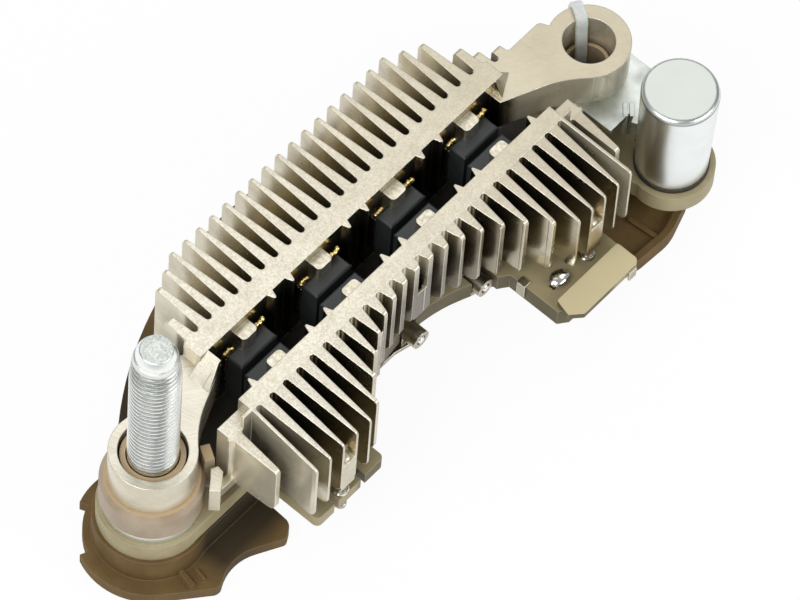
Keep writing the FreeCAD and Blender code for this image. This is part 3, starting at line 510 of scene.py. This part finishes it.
solder, g, shader = start_material("Bright solder")
marks = use_group(g, "handling marks", Amount=0.6)
set_surface(g, shader, g.mix(marks["Smudge"], SOLDER_BRIGHT, SOLDER_DULL),
            handled(g, marks, clean=0.14, change=0.2),
            bump(g, marks["Smudge"], strength=0.2))
print("finish:", solder.name)

# %% [markdown]
# The wire ends behind the diodes are pale gold. They are only a few tenths of a millimetre thick,
# so a bright edge tone matters more than any grain.

# %% Gold
GOLD_CLEAN, GOLD_HANDLED, GOLD_RUBBED = (0.93, 0.72, 0.30), (0.75, 0.54, 0.2), (1.0, 0.86, 0.5)

gold, g, shader = start_material("Pale gold plate")
marks = use_group(g, "handling marks", Amount=0.6)
edges = use_group(g, "worn edges", Width=0.0001)
color = rub_edges(g, edges, g.mix(marks["Smudge"], GOLD_CLEAN, GOLD_HANDLED), GOLD_RUBBED)
set_surface(g, shader, color, handled(g, marks, clean=0.18, change=0.2),
            bump(g, marks["Smudge"], edges["Normal"], strength=0.1))
print("finish:", gold.name)

# %% [markdown]
# The mouldings share one recipe: a base tone, a second tone in clouds, pale rubbed edges, a fine
# grain and a chosen gloss. One function makes them all, and each gets its colours, a tone for its
# tops if they differ, and tones of painted light and shade for named places. Shine is the strength
# of the mirror reflection: brown and olive need little of it, or the pale floor turns their walls
# grey.

# %% Recipe for mouldings
GRAIN_SHARE = 0.35


def moulding(name, dark, light, rubbed, gloss, top=None, tones=(), shine=0.5):
    """A moulded plastic; tones is a list of (function that makes a mask, colour) that paint light
    and shade on named places.
    """
    material, graph, shader = start_material(name)
    marks = use_group(graph, "handling marks", Amount=0.8)
    edges = use_group(graph, "worn edges", Width=0.00025)
    grain = use_group(graph, "cast grain", Fineness=2200.0)
    color = graph.mix(marks["Smudge"], dark, light)
    color = graph.mix(graph.times(grain["Tone"], GRAIN_SHARE), color, light)
    if top:
        color = graph.mix(use_group(graph, "upward faces")["Up"], color, top)
    for mask_maker, tone in tones:
        color = graph.mix(mask_maker(graph), color, tone)
    color = rub_edges(graph, edges, color, rubbed, share=0.45)
    set_surface(graph, shader, color, handled(graph, marks, clean=gloss, change=0.15),
                bump(graph, grain["Height"], edges["Normal"], strength=0.25), metallic=0.0)
    shader.inputs["Specular IOR Level"].default_value = shine
    print("finish:", name)
    return material


# %% [markdown]
# Three small mouldings need no more than the recipe. The diode cases are charcoal with a slight
# gloss, the insulators are tan and warmer on their upward faces, and the can stands on a dark
# resin seal.

# %% Diode cases, insulators and seal
diode_plastic = moulding(
    "Charcoal diode moulding", dark=(0.024, 0.027, 0.028), light=(0.045, 0.049, 0.050),
    rubbed=(0.09, 0.10, 0.11), gloss=0.36)
tan_plastic = moulding(
    "Tan insulator", dark=(0.31, 0.235, 0.155), light=(0.45, 0.355, 0.26),
    rubbed=(0.66, 0.56, 0.44), gloss=0.36, top=(0.50, 0.36, 0.20))
resin = moulding(
    "Dark resin seal", dark=(0.02, 0.017, 0.014), light=(0.05, 0.04, 0.03),
    rubbed=(0.08, 0.07, 0.06), gloss=0.45)

# %% [markdown]
# The board changes tone from place to place, mostly as painted light and shade: painted shade
# nearly black on the channel's floor, a painted shadow under the fins, a painted pool of light on
# the raised tab, and a dark tone on the walls of the edge round the shaft bay. A painted picture
# could hold these tones, but would be one more file to keep in step with the shapes. Instead each
# place is a soft box with limits in millimetres.

# %% Masks for places
UNDER_FINS_SHADOW_STRENGTH = 0.55


def place_mask(graph, *ranges, up=None):
    """Mask of a soft box. The ranges, for X, Y and Z in mm, are (start, full), or (start, full,
    full, end), or None for all; up keeps only the faces that look up (True) or the others."""
    where = graph.split(graph.place())
    masks = []
    for axis, limits in zip("XYZ", ranges):
        if limits:
            value = where[axis]
            masks.append(graph.fade(value, limits[0] / 1000, limits[1] / 1000))
            if len(limits) == 4:
                masks.append(graph.fade(value, limits[3] / 1000, limits[2] / 1000))
    if up is not None:
        facing = use_group(graph, "upward faces")["Up"]
        masks.append(facing if up else graph.opposite(facing))
    mask = masks[0]
    for other in masks[1:]:
        mask = graph.times(mask, other, clamp=True)
    return mask


# painted shade: the channel's floor nearly black
def channel_floor_shade(graph):
    return place_mask(graph, (8.0, 10.0, 90.0, 92.0), (-5.8, -5.0, 5.0, 5.8))


# painted light on the raised tab
def tab_face_light(graph):
    return place_mask(graph, (64.0, 66.0), (-20.0, -21.5), (11.5, 12.2), up=True)


def bay_edge(graph):
    return place_mask(graph, (23.0, 25.0, 75.0, 77.0), (-5.0, -7.0), up=False)


# painted shadow of the fins on the board
def under_fins_shadow(graph):
    whole = place_mask(graph, (12.0, 14.0, 86.0, 88.0), (-9.0, -10.0), (12.0, 11.5), up=True)
    return graph.times(whole, UNDER_FINS_SHADOW_STRENGTH)


# painted shadow of the negative sink on the cover
def below_foot_shadow(graph):
    return place_mask(graph, (-1.0, 3.5, 18.0, 30.0), (-16.6, -12.0))


PLACES = (channel_floor_shade, tab_face_light, bay_edge, under_fins_shadow, below_foot_shadow)
print("places:", [place.__name__ for place in PLACES])

# %% [markdown]
# The board and the cover are the two large mouldings. They could be one plastic in two colours,
# but the real cover is rougher and nearly dull, so each is a call of the recipe with its own
# gloss, shine and places.

# %% Board and cover
olive_plastic = moulding(
    "Olive board", dark=(0.33, 0.275, 0.15), light=(0.44, 0.38, 0.23), rubbed=(0.62, 0.57, 0.42),
    gloss=0.4, shine=0.25,
    # painted shade in the channel, painted light on the tab, a dark tone on the bay's edge walls,
    # painted shadow under the fins
    tones=[(channel_floor_shade, (0.055, 0.050, 0.040)), (tab_face_light, (0.59, 0.51, 0.31)),
           (bay_edge, (0.12, 0.098, 0.048)), (under_fins_shadow, (0.27, 0.22, 0.12))])
brown_plastic = moulding(
    "Brown cover", dark=(0.125, 0.076, 0.027), light=(0.190, 0.122, 0.048),
    rubbed=(0.34, 0.24, 0.13), gloss=0.6, shine=0.2,
    # painted shadow of the negative sink on the cover
    tones=[(below_foot_shadow, (0.042, 0.030, 0.016))])

# %% [markdown]
# The model's pieces come in bare. They could be painted one by one, but the record already says
# which finish slot each piece has, so one loop over it paints them all. The strap shares its slot
# with the rings and is the one exception.

# %% Give the pieces their finishes
LOOKS = {
    "sink_casting": sink_metal,
    "bright_zinc": zinc,
    "tinned_metal": tinned,
    "gold_lead": gold,
    "diode_moulding": diode_plastic,
    "tan_insulator": tan_plastic,
    "olive_board": olive_plastic,
    "brown_cover": brown_plastic,
    "can_sleeve": tin_can,
    "seal_resin": resin,
}
OWN_LOOKS = {"capacitor_strap": sheet_zinc}

for part in frame["record"]["subparts"]:
    piece = nodes[part["node"]]
    piece.data.materials.clear()
    piece.data.materials.append(OWN_LOOKS.get(part["node"], LOOKS[part["material_slot"]]))

# %% [markdown]
# The fine detail is new geometry. Blender's own primitives are too plain for it, so each piece is
# drawn as points and faces in a bmesh, turned into an object, and fastened to the body of the
# measured model. Round pieces are drawn as rings of points with a skin between them.

# %% Helpers for new pieces
SMOOTH_BELOW = math.radians(38)


def draw(name, mesh_maker, flat):
    """A mesh of the maker's points and faces, with its faces turned outward."""
    mesh = bpy.data.meshes.new(name)
    shape = bmesh.new()
    mesh_maker(shape)
    bmesh.ops.recalc_face_normals(shape, faces=shape.faces)
    for face in shape.faces:
        face.smooth = not flat
    shape.to_mesh(mesh)
    shape.free()
    return mesh


def new_piece(name, mesh_maker, material, flat=False):
    """Draws a piece, flat or smooth, puts it on the body and gives it its material."""
    mesh = draw(name, mesh_maker, flat)
    if not flat:
        mesh.set_sharp_from_angle(angle=SMOOTH_BELOW)
    mesh.materials.append(material)
    piece = bpy.data.objects.new(name, mesh)
    bpy.context.scene.collection.objects.link(piece)
    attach(piece, "root")
    print(name, "faces:", len(mesh.polygons))
    return piece


def skin(shape, rings):
    """Faces between rings of equally many points, and one across each end."""
    for lower, upper in zip(rings[:-1], rings[1:]):
        for step in range(len(lower)):
            after = (step + 1) % len(lower)
            shape.faces.new((lower[step], lower[after], upper[after], upper[step]))
    shape.faces.new(rings[0])
    shape.faces.new(rings[-1])


print("edges stay smooth below, in degrees:", round(math.degrees(SMOOTH_BELOW)))

# %% [markdown]
# The stud is an M8 with a plain shank, a fine thread that thins a little toward its end, and a
# smooth pilot. The measured model leaves the thread out. A Screw modifier could wind it, but then
# the run-in, the taper and the pilot need pieces of their own. A radius that depends on height
# and angle gives all of them in one skin.

# %% Stud profile
STUD_LOW, STUD_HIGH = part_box("terminal_stud")
HEAD_TOP = 0.0034
HEAD_RADIUS = 0.0064
SHANK_RADIUS = 0.0036
CREST_RADIUS = 0.004
RUN_OUT_STEP = 0.00018
PILOT_RADIUS = 0.00318
PILOT_LENGTH = 0.0019
PILOT_TAPER, PILOT_ROUNDING = 0.0001, 0.00052
ROUND_FROM = 0.45  # share of the pilot's length
THREAD_START = 0.0253
THREAD_END = STUD_HIGH.z - PILOT_LENGTH
THREAD_PITCH = 0.00105
THREAD_DEPTH = 0.00034
THREAD_FADE = 0.001
TAPER_START = STUD_HIGH.z - 0.0075
TAPER = 0.00045


def stud_profile(z, angle):
    """Radius of the stud at a height and an angle."""
    if z < HEAD_TOP:
        return HEAD_RADIUS
    if z < THREAD_START:
        return SHANK_RADIUS
    if z > THREAD_END:
        share = (z - THREAD_END) / PILOT_LENGTH
        rounding = max(0.0, share - ROUND_FROM) / (1.0 - ROUND_FROM)
        return PILOT_RADIUS - PILOT_TAPER * share - PILOT_ROUNDING * rounding
    turn = ((z - THREAD_START) / THREAD_PITCH - angle / (2 * math.pi)) % 1.0
    groove = 0.5 + 0.5 * math.cos(2 * math.pi * turn)
    start = min(1.0, (z - THREAD_START) / THREAD_FADE)
    finish = max(0.0, min(1.0, (THREAD_END - z) / THREAD_FADE))
    taper = max(0.0, (z - TAPER_START) / (THREAD_END - TAPER_START))
    depth = THREAD_DEPTH * groove * start * finish
    return CREST_RADIUS - TAPER * taper - depth - RUN_OUT_STEP * (1.0 - finish)


print("stud from", round(1000 * STUD_LOW.z, 1), "to", round(1000 * STUD_HIGH.z, 1), "mm")

# %% [markdown]
# The rings lie close together along the thread, eight to a turn, and far apart on the plain
# shank. Pairs of rings just below and above a step keep it sharp. The last few rings shrink
# inward and sink a little, so that the end is slightly dished.

# %% Threaded stud
ROUND_STEPS = 48
RINGS_PER_TURN = 8
HEAD_BOTTOM, SHANK_MIDDLE, PILOT_MIDDLE = 0.0004, 0.012, THREAD_END + 0.0008
STEP_GAP, SMALL_GAP = 0.0001, 0.00001
ROUNDING_DROPS = (0.0008, 0.0004, 0.00012)
DISH = ((0.985, 0.0001), (0.95, 0.00001), (0.6, 0.00012), (0.2, 0.0002))  # share of radius, drop


def add_ring(shape, z, radius_at):
    """A ring of points at a height; radius_at gives the radius at an angle."""
    ring = []
    for step in range(ROUND_STEPS):
        angle = 2 * math.pi * step / ROUND_STEPS
        radius = radius_at(angle)
        ring.append(shape.verts.new((radius * math.cos(angle), radius * math.sin(angle), z)))
    return ring


def make_stud(shape):
    top = STUD_HIGH.z
    length = THREAD_END - THREAD_START
    count = int(length / THREAD_PITCH * RINGS_PER_TURN)
    heights = [HEAD_BOTTOM, HEAD_TOP - STEP_GAP, HEAD_TOP + SMALL_GAP]
    heights += [SHANK_MIDDLE, THREAD_START - STEP_GAP]
    heights += [THREAD_START + length * i / count for i in range(count + 1)]
    heights += [THREAD_END + STEP_GAP, PILOT_MIDDLE]
    heights += [top - drop for drop in ROUNDING_DROPS]
    rings = [add_ring(shape, z, lambda angle: stud_profile(z, angle)) for z in heights]
    edge = stud_profile(top, 0.0)
    rings += [add_ring(shape, top - drop, lambda angle: edge * share) for share, drop in DISH]
    skin(shape, rings)


stud = new_piece("threaded_stud", make_stud, thread_zinc)
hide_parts("terminal_stud")

# %% [markdown]
# Round the shaft bay the negative sink's short fins are thin at their tips. In the measured model
# they stay thicker, because each slot widens by its distance and not by the fin's length. The
# whole casting could be drawn again, but its arcs and webs are already right. So thin wedges, one
# to a slot, are made here and cut from a copy of it in the next step.

# %% Wedges for the short fins
FIN_PITCH = 0.003
SLOT_STEPS = range(-9, 9)
SLOT_HALF_ROOT = 0.0006
SLOT_HALF_MOUTH = 0.00122
WEDGE_HALF_MOST = 0.0013
WEDGE_PAST_TIP = 0.0007
WEDGE_CLEAR = 0.00002
WEDGE_LOW, WEDGE_HIGH = 0.0135, 0.0300
LEAST_SLOPE = 0.06
SINK_ROOT = -0.0074
BAY_RADIUS = 0.0269
BAY_CENTRE = Vector((ROW_MIDDLE, -0.036))
LONG_FIN_TIP = -0.0211
WEB_X, WEB_TOP = 0.051, 0.021


def bay_line(x):
    """Y of the fins' ends at X: the bay's circle, or the straight line beside it."""
    across = abs(x - BAY_CENTRE.x)
    if across >= BAY_RADIUS:
        return LONG_FIN_TIP
    return max(LONG_FIN_TIP, BAY_CENTRE.y + math.sqrt(BAY_RADIUS ** 2 - across ** 2))


def add_prism(shape, plan, low, high):
    bottom = [shape.verts.new((x, y, low)) for x, y in plan]
    above = [shape.verts.new((x, y, high)) for x, y in plan]
    skin(shape, [bottom, above])


def make_wedges(shape):
    """A wedge in each slot whose fins are short; long fins are slim enough as they are."""
    start = SINK_ROOT - SLOT_HALF_ROOT
    half_start = SLOT_HALF_ROOT - WEDGE_CLEAR
    for step in SLOT_STEPS:
        x = NEGATIVE_MIDDLE + (step + 0.5) * FIN_PITCH
        tip = bay_line(x)
        slope = (SLOT_HALF_MOUTH - SLOT_HALF_ROOT) / (start - tip)
        if slope < LEAST_SLOPE:
            continue
        end = tip - WEDGE_PAST_TIP
        half_end = min(SLOT_HALF_ROOT + slope * (start - end), WEDGE_HALF_MOST)
        low = WEB_TOP if math.isclose(x, WEB_X) else WEDGE_LOW
        plan = [(x - half_start, start), (x - half_end, end),
                (x + half_end, end), (x + half_start, start)]
        add_prism(shape, plan, low, WEDGE_HIGH)


print("fins end in midbay at Y, mm:", round(1000 * bay_line(BAY_CENTRE.x), 1))

# %% [markdown]
# A boolean modifier subtracts the wedges. Its exact solver keeps the casting's other faces as
# they are, but it needs a closed body, so the copy's doubled points are welded first. The result
# is shaded flat: smooth shading would smear across the long thin faces that a boolean leaves.

# %% Thin the short fins
WELD_BELOW = 1e-7


def carved_copy(node, maker):
    """A copy of the node's mesh with the maker's solids cut out of it."""
    whole = node.data.copy()
    weld = bmesh.new()
    weld.from_mesh(whole)
    bmesh.ops.remove_doubles(weld, verts=weld.verts, dist=WELD_BELOW)
    weld.to_mesh(whole)
    weld.free()
    meshes = [whole, draw("knife", maker, flat=True)]
    body, knife = (bpy.data.objects.new("carving", mesh) for mesh in meshes)
    for thing in (body, knife):
        bpy.context.scene.collection.objects.link(thing)
    cut = body.modifiers.new("cut", "BOOLEAN")
    cut.operation = "DIFFERENCE"
    cut.solver = "EXACT"
    cut.object = knife
    done = body.evaluated_get(bpy.context.evaluated_depsgraph_get())
    carved = bpy.data.meshes.new_from_object(done)
    for mesh in meshes:
        bpy.data.meshes.remove(mesh)  # its object goes with it
    return carved


carved = carved_copy(nodes["negative_heat_sink"], make_wedges)
thin_fins = new_piece("thin_fin_sink", lambda shape: shape.from_mesh(carved), sink_metal,
                      flat=True)
bpy.data.meshes.remove(carved)
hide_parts("negative_heat_sink")
print("sink faces before:", len(nodes["negative_heat_sink"].data.polygons))

# %% [markdown]
# At the stud end the casting's sloped shoulder runs out to the arm's curved edge. A small flank
# fills the corner between them. Its eight corners are easier to give than its faces, so a convex
# hull finds the faces.

# %% Shoulder flank
FLANK = [(13.1, 1.95, 26.2), (13.1, 0.62, 26.2), (16.9, 2.02, 26.2), (16.9, 2.3, 26.2),
         (13.1, 1.95, 26.34), (13.1, 0.62, 26.34), (16.9, 2.02, 29.32), (16.9, 2.3, 29.32)]


def make_flank(shape):
    for corner in FLANK:
        shape.verts.new([value / 1000 for value in corner])
    bmesh.ops.convex_hull(shape, input=shape.verts)


flank = new_piece("shoulder_flank", make_flank, sink_metal, flat=True)

# %% [markdown]
# A white cable tie hangs in the eyelet. Its nylon is slightly see-through and soft inside, with
# fine ribs across. A glass-like material would look wet, so a little alpha and some light under
# the surface are used.

# %% White nylon
NYLON_CLEAN, NYLON_HANDLED = (0.82, 0.85, 0.83), (0.72, 0.76, 0.74)
LEAST_ALPHA, RIB_ALPHA = 0.62, 0.1
SOFT_LIGHT, SOFT_DEPTH = 0.3, 0.002

nylon, g, shader = start_material("White nylon")
marks = use_group(g, "handling marks", Amount=0.5)
ribs = use_group(g, "machined lines", Stretch=(2400.0, 400.0, 2400.0))
set_surface(g, shader, g.mix(marks["Smudge"], NYLON_CLEAN, NYLON_HANDLED),
            handled(g, marks, clean=0.35, change=0.1), bump(g, ribs["Height"], strength=0.2),
            metallic=0.0)
g.put(shader.inputs["Alpha"], g.plus(LEAST_ALPHA, g.times(ribs["Tone"], RIB_ALPHA)))
shader.inputs["Subsurface Weight"].default_value = SOFT_LIGHT
shader.inputs["Subsurface Scale"].default_value = SOFT_DEPTH
print("finish:", nylon.name)

# %% [markdown]
# Bands and wires are one section drawn along a path. A Curve object could do it, but its twist is
# hard to hold. Here a smooth path passes through given points, and the section keeps its width
# in one fixed direction.

# %% Helpers for bands and wires


def smooth_path(points, steps):
    """Points along a curve that passes through the given points."""
    ends = [points[0]] + list(points) + [points[-1]]
    path = []
    for index in range(1, len(ends) - 2):
        a, b, c, d = (Vector(p) for p in ends[index - 1:index + 3])
        for step in range(steps):
            t = step / steps
            path.append(0.5 * ((2 * b) + (c - a) * t + (2 * a - 5 * b + 4 * c - d) * t * t
                               + (3 * b - a - 3 * c + d) * t ** 3))
    path.append(Vector(ends[-1]))
    return path


def sweep(shape, path, section, across):
    """Draws a closed section along a path; across is the section's fixed width direction."""
    rings = []
    for index, spot in enumerate(path):
        ahead = path[min(index + 1, len(path) - 1)] - path[max(index - 1, 0)]
        depth = ahead.cross(across).normalized()
        rings.append([shape.verts.new(spot + across * u + depth * v) for u, v in section])
    skin(shape, rings)


print("points on a path with 3 stops:", len(smooth_path([(0, 0, 0), (1, 0, 1), (2, 0, 0)], 5)))

# %% [markdown]
# The tie goes up outside the casting, over its edge and down through the hole. Its stops are read
# as distance from the eyelet's axis and height, so that turning the whole tie round the eyelet is
# one angle.

# %% Cable tie
EYE = Vector((0.1, 0.0, 0.0))
TIE_ANGLE = math.radians(58)
TIE_WAY = Vector((math.cos(TIE_ANGLE), math.sin(TIE_ANGLE), 0))
TIE_ACROSS = Vector((-TIE_WAY.y, TIE_WAY.x, 0))
TIE_STOPS = [(9.4, 9.2), (9.3, 13.0), (9.1, 16.5), (8.4, 20.0), (7.7, 23.5),
             (7.2, 26.0), (6.4, 26.85), (5.2, 26.85), (4.2, 26.75), (3.65, 25.8),
             (3.5, 24.0), (3.0, 21.0), (2.6, 17.5), (2.55, 12.0), (2.5, 6.0)]
TIE_HALF_WIDTH, TIE_HALF_THICK, TIE_SOFT = 0.00095, 0.00042, 0.00016
TIE_STEPS = 6


def make_tie(shape):
    stops = [EYE + TIE_WAY * (r / 1000) + Vector((0, 0, z / 1000)) for r, z in TIE_STOPS]
    half, thick, soft = TIE_HALF_WIDTH, TIE_HALF_THICK, TIE_SOFT
    section = [(-half, -thick + soft), (-half + soft, -thick),
               (half - soft, -thick), (half, -thick + soft),
               (half, thick - soft), (half - soft, thick),
               (-half + soft, thick), (-half, thick - soft)]
    sweep(shape, smooth_path(stops, TIE_STEPS), section, TIE_ACROSS)


tie = new_piece("cable_tie", make_tie, nylon)

# %% [markdown]
# Behind each positive diode two bundles of gold wire stick up. Every wire ends in a melted bead.
# A sphere would look too perfect, so the bead is a ball of rings whose points are pushed in and
# out at random. The solder drops use it too.

# %% Uneven bead
SMALL_BEAD = {"roughness": 0.2, "rows": 6, "columns": 8}
LARGE_BEAD = {"roughness": 0.1, "rows": 12, "columns": 20}


def bead(shape, centre, sizes, roughness, rows, columns):
    """A small uneven drop of metal; sizes are its half lengths."""
    layers = []
    for row in range(1, rows):
        tilt = math.pi * row / rows
        ring = []
        for column in range(columns):
            turn = 2 * math.pi * column / columns
            swell = 1.0 + random.uniform(-roughness, roughness) * 0.5
            ring.append(shape.verts.new((
                centre[0] + sizes[0] * swell * math.sin(tilt) * math.cos(turn),
                centre[1] + sizes[1] * swell * math.sin(tilt) * math.sin(turn),
                centre[2] + sizes[2] * swell * math.cos(tilt))))
        layers.append(ring)
    top = shape.verts.new((centre[0], centre[1], centre[2] + sizes[2]))
    bottom = shape.verts.new((centre[0], centre[1], centre[2] - sizes[2]))
    for column in range(columns):
        after = (column + 1) % columns
        shape.faces.new((top, layers[0][column], layers[0][after]))
        shape.faces.new((bottom, layers[-1][after], layers[-1][column]))
        for upper, lower in zip(layers[:-1], layers[1:]):
            shape.faces.new((upper[column], lower[column], lower[after], upper[after]))


for kind in (SMALL_BEAD, LARGE_BEAD):
    print("points on a bead:", (kind["rows"] - 1) * kind["columns"] + 2)

# %% [markdown]
# Each bundle is a fan of four short wires that share a root and lean apart. The measured model
# holds plain prongs in their place, so their box gives the wires' line and height, and the diode
# cases give the ends to stand at.

# %% Gold wire ends
WIRE_ROUND = [(math.cos(math.pi * k / 4), math.sin(math.pi * k / 4)) for k in range(8)]
WIRE_FAN = (-1.0, -0.35, 0.3, 0.95)
WIRE_RADIUS = 0.00027
WIRE_BEAD = 0.00048
WIRE_STEPS = 5
BEND_BELOW_TOP, TIP_BELOW_TOP = 0.0012, 0.0001
ROOT_LEAN, BEND_LEAN, TIP_LEAN = 0.0001, 0.0004, 0.0011
BEND_BACK, TIP_BACK, TIP_BACK_MORE = 0.0001, 0.0003, 0.0004
SMALL_BUNDLE, FULL_BUNDLE = 0.7, 1.0
FROM_CASE_START, FROM_CASE_END = 0.0001, 0.0012


def add_wire(shape, x, y, low, high, lean, size):
    """One bent wire with its bead; lean is the side it leans to, size its bundle's scale."""
    start = Vector((x + lean * ROOT_LEAN, y, low))
    bend = Vector((x + lean * BEND_LEAN, y - BEND_BACK, high - BEND_BELOW_TOP))
    back = y - TIP_BACK - random.uniform(0, TIP_BACK_MORE)
    tip = Vector((x + lean * TIP_LEAN, back, high - TIP_BELOW_TOP))
    section = [(WIRE_RADIUS * size * u, WIRE_RADIUS * size * v) for u, v in WIRE_ROUND]
    sweep(shape, smooth_path([start, bend, tip], WIRE_STEPS), section, Vector((0, 1, 0)))
    bead(shape, tip, [WIRE_BEAD * size] * 3, **SMALL_BEAD)


def make_wires(shape):
    low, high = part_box("diode_prongs")
    for count in range(4):
        case_low, case_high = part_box("positive_diode_%d" % (count + 1))
        for x, size in ((case_low.x + FROM_CASE_START, SMALL_BUNDLE),
                        (case_high.x - FROM_CASE_END, FULL_BUNDLE)):
            for turn in WIRE_FAN:
                add_wire(shape, x, (low.y + high.y) / 2, low.z, high.z, turn * size, size)


wires = new_piece("gold_wire_ends", make_wires, gold)
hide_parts("diode_prongs")

# %% [markdown]
# Solder sits in the mouths of the two stator tubes, on the two tongues and round the rivets. The
# drops are the same uneven bead, squashed to the size that each place needs.

# %% Solder drops
DROPS = [  # centre and half lengths in mm
    ((49.9, -10.5, 9.3), (0.7, 0.45, 0.7)),
    ((63.7, -11.6, 9.3), (0.7, 0.45, 0.7)),
    ((71.5, -19.8, 12.0), (1.75, 1.4, 0.75)),
    ((79.0, -15.2, 12.0), (1.75, 1.2, 0.75)),
    ((21.0, -19.9, 11.35), (1.35, 1.15, 0.55)),
    ((78.0, -19.9, 11.35), (1.45, 1.25, 0.6)),
]


def make_drops(shape):
    for centre, sizes in DROPS:
        bead(shape, [v / 1000 for v in centre], [v / 1000 for v in sizes], **LARGE_BEAD)


drops = new_piece("solder_drops", make_drops, solder)

# %% [markdown]
# The part stands on a wide pale sheet. More light would make the sheet white, but would wash out
# the part. Instead the sheet's own colour depends on the ray: the camera sees it nearly white,
# with a faint shadow left, and the metal mirrors it a little darker.

# %% Floor
SHEET_TONES = (0.90, 0.90, 0.90), (0.93, 0.93, 0.93)
FIBRE_SCALE = 40.0
SHEET_ROUGH, FIBRE_ADDS = 0.8, 0.1
WHITE = (1.0, 1.0, 1.0)
CAMERA_WHITE = 0.94
MIRROR_WHITE = 0.75
SHEET_HALF = 3.0
SHEET_DROP = 0.0002

floor_look, g, shader = start_material("Pale floor")
fibre = g.noise(g.place(), FIBRE_SCALE)
g.put(shader.inputs["Base Color"], g.mix(fibre, *SHEET_TONES))
g.put(shader.inputs["Roughness"], g.plus(SHEET_ROUGH, g.times(fibre, FIBRE_ADDS)))
glow = g.add("ShaderNodeEmission", Color=(*WHITE, 1.0), Strength=1.0)
ray = g.add("ShaderNodeLightPath").outputs
seen = g.math("ADD", g.times(ray["Is Camera Ray"], CAMERA_WHITE),
              g.times(ray["Is Glossy Ray"], MIRROR_WHITE), clamp=True)
blend = g.add("ShaderNodeMixShader")
for socket, value in zip(blend.inputs, (seen, shader.outputs[0], glow.outputs[0])):
    g.put(socket, value)
g.put(g.tree.nodes["Material Output"].inputs["Surface"], blend.outputs[0])

floor_mesh = bpy.data.meshes.new("floor_sheet")
corners = [(x * SHEET_HALF, y * SHEET_HALF, 0) for x, y in ((-1, -1), (1, -1), (1, 1), (-1, 1))]
floor_mesh.from_pydata(corners, [], [(0, 1, 2, 3)])
floor_mesh.materials.append(floor_look)
floor = bpy.data.objects.new("floor_sheet", floor_mesh)
floor.location.z = -SHEET_DROP
bpy.context.scene.collection.objects.link(floor)
print("floor sheet in m:", 2 * SHEET_HALF)

# %% [markdown]
# Soft studio light: a large box overhead on the far side, whose mirror image lies on the flat
# tops, a wide one on the left for the stud and the collar, and a slightly smaller one on the
# right. Small lamps would leave hard spots on the metal, so all three are wide.

# %% Lights
AIM = Vector((0.05, 0.0, 0.015))
SOFT_BOXES = [  # name, place and size in metres, power in watts
    ("overhead_box", (0.42, 0.32, 0.72), (0.85, 0.85), 2.2),
    ("left_key", (-0.55, -0.05, 0.70), (0.6, 0.5), 5.0),
    ("right_fill", (0.25, -0.70, 0.45), (0.6, 0.4), 2.6),
]

for name, place, size, power in SOFT_BOXES:
    lamp = bpy.data.lights.new(name, "AREA")
    lamp.shape = "RECTANGLE"
    lamp.size, lamp.size_y = size
    lamp.energy = power
    holder = bpy.data.objects.new(name, lamp)
    holder.location = place
    holder.rotation_euler = (AIM - Vector(place)).to_track_quat("-Z", "Y").to_euler()
    bpy.context.scene.collection.objects.link(holder)
print("soft boxes:", len(SOFT_BOXES))

# %% [markdown]
# The room behind is white for the camera and a dim grey for every other ray, so that it fills the
# shadows softly without lighting the part flat.

# %% Room
ROOM_GREY = (0.30, 0.31, 0.32)

world = bpy.data.worlds.new("Studio room")
bpy.context.scene.world = world
world.use_nodes = True
g = Graph(world.node_tree)
ray = g.add("ShaderNodeLightPath").outputs
g.put(world.node_tree.nodes["Background"].inputs["Color"],
      g.mix(ray["Is Camera Ray"], ROOM_GREY, WHITE))
print("room:", world.name)

# %% [markdown]
# The camera was measured from the photograph: a long lens looking down on the stud end. Its axes
# could be written as turns about X, Y and Z, but the three directions and the seat go straight
# into its matrix.

# %% Camera
LENS_MM, SENSOR_MM = 360.0, 36.0
FARTHEST = 20.0
RIGHT = Vector((0.66392702, -0.74651405, 0.04379131))
UP = Vector((0.627882, 0.58831078, 0.50956317))
TOWARD = Vector((-0.40615897, -0.31081699, 0.85931816))
SEAT = Vector((-0.44877, -0.38749, 1.07094))

lens = bpy.data.cameras.new("studio_camera")
lens.lens = LENS_MM
lens.sensor_width = SENSOR_MM
lens.sensor_fit = "HORIZONTAL"
lens.clip_end = FARTHEST
camera = bpy.data.objects.new("studio_camera", lens)
rows = [(RIGHT[axis], UP[axis], TOWARD[axis], SEAT[axis]) for axis in range(3)]
camera.matrix_world = Matrix((*rows, (0, 0, 0, 1)))
bpy.context.scene.collection.objects.link(camera)
bpy.context.scene.camera = camera
bpy.context.scene.view_settings.view_transform = "Standard"
print("camera at:", [round(value, 3) for value in SEAT])

# %% [markdown]
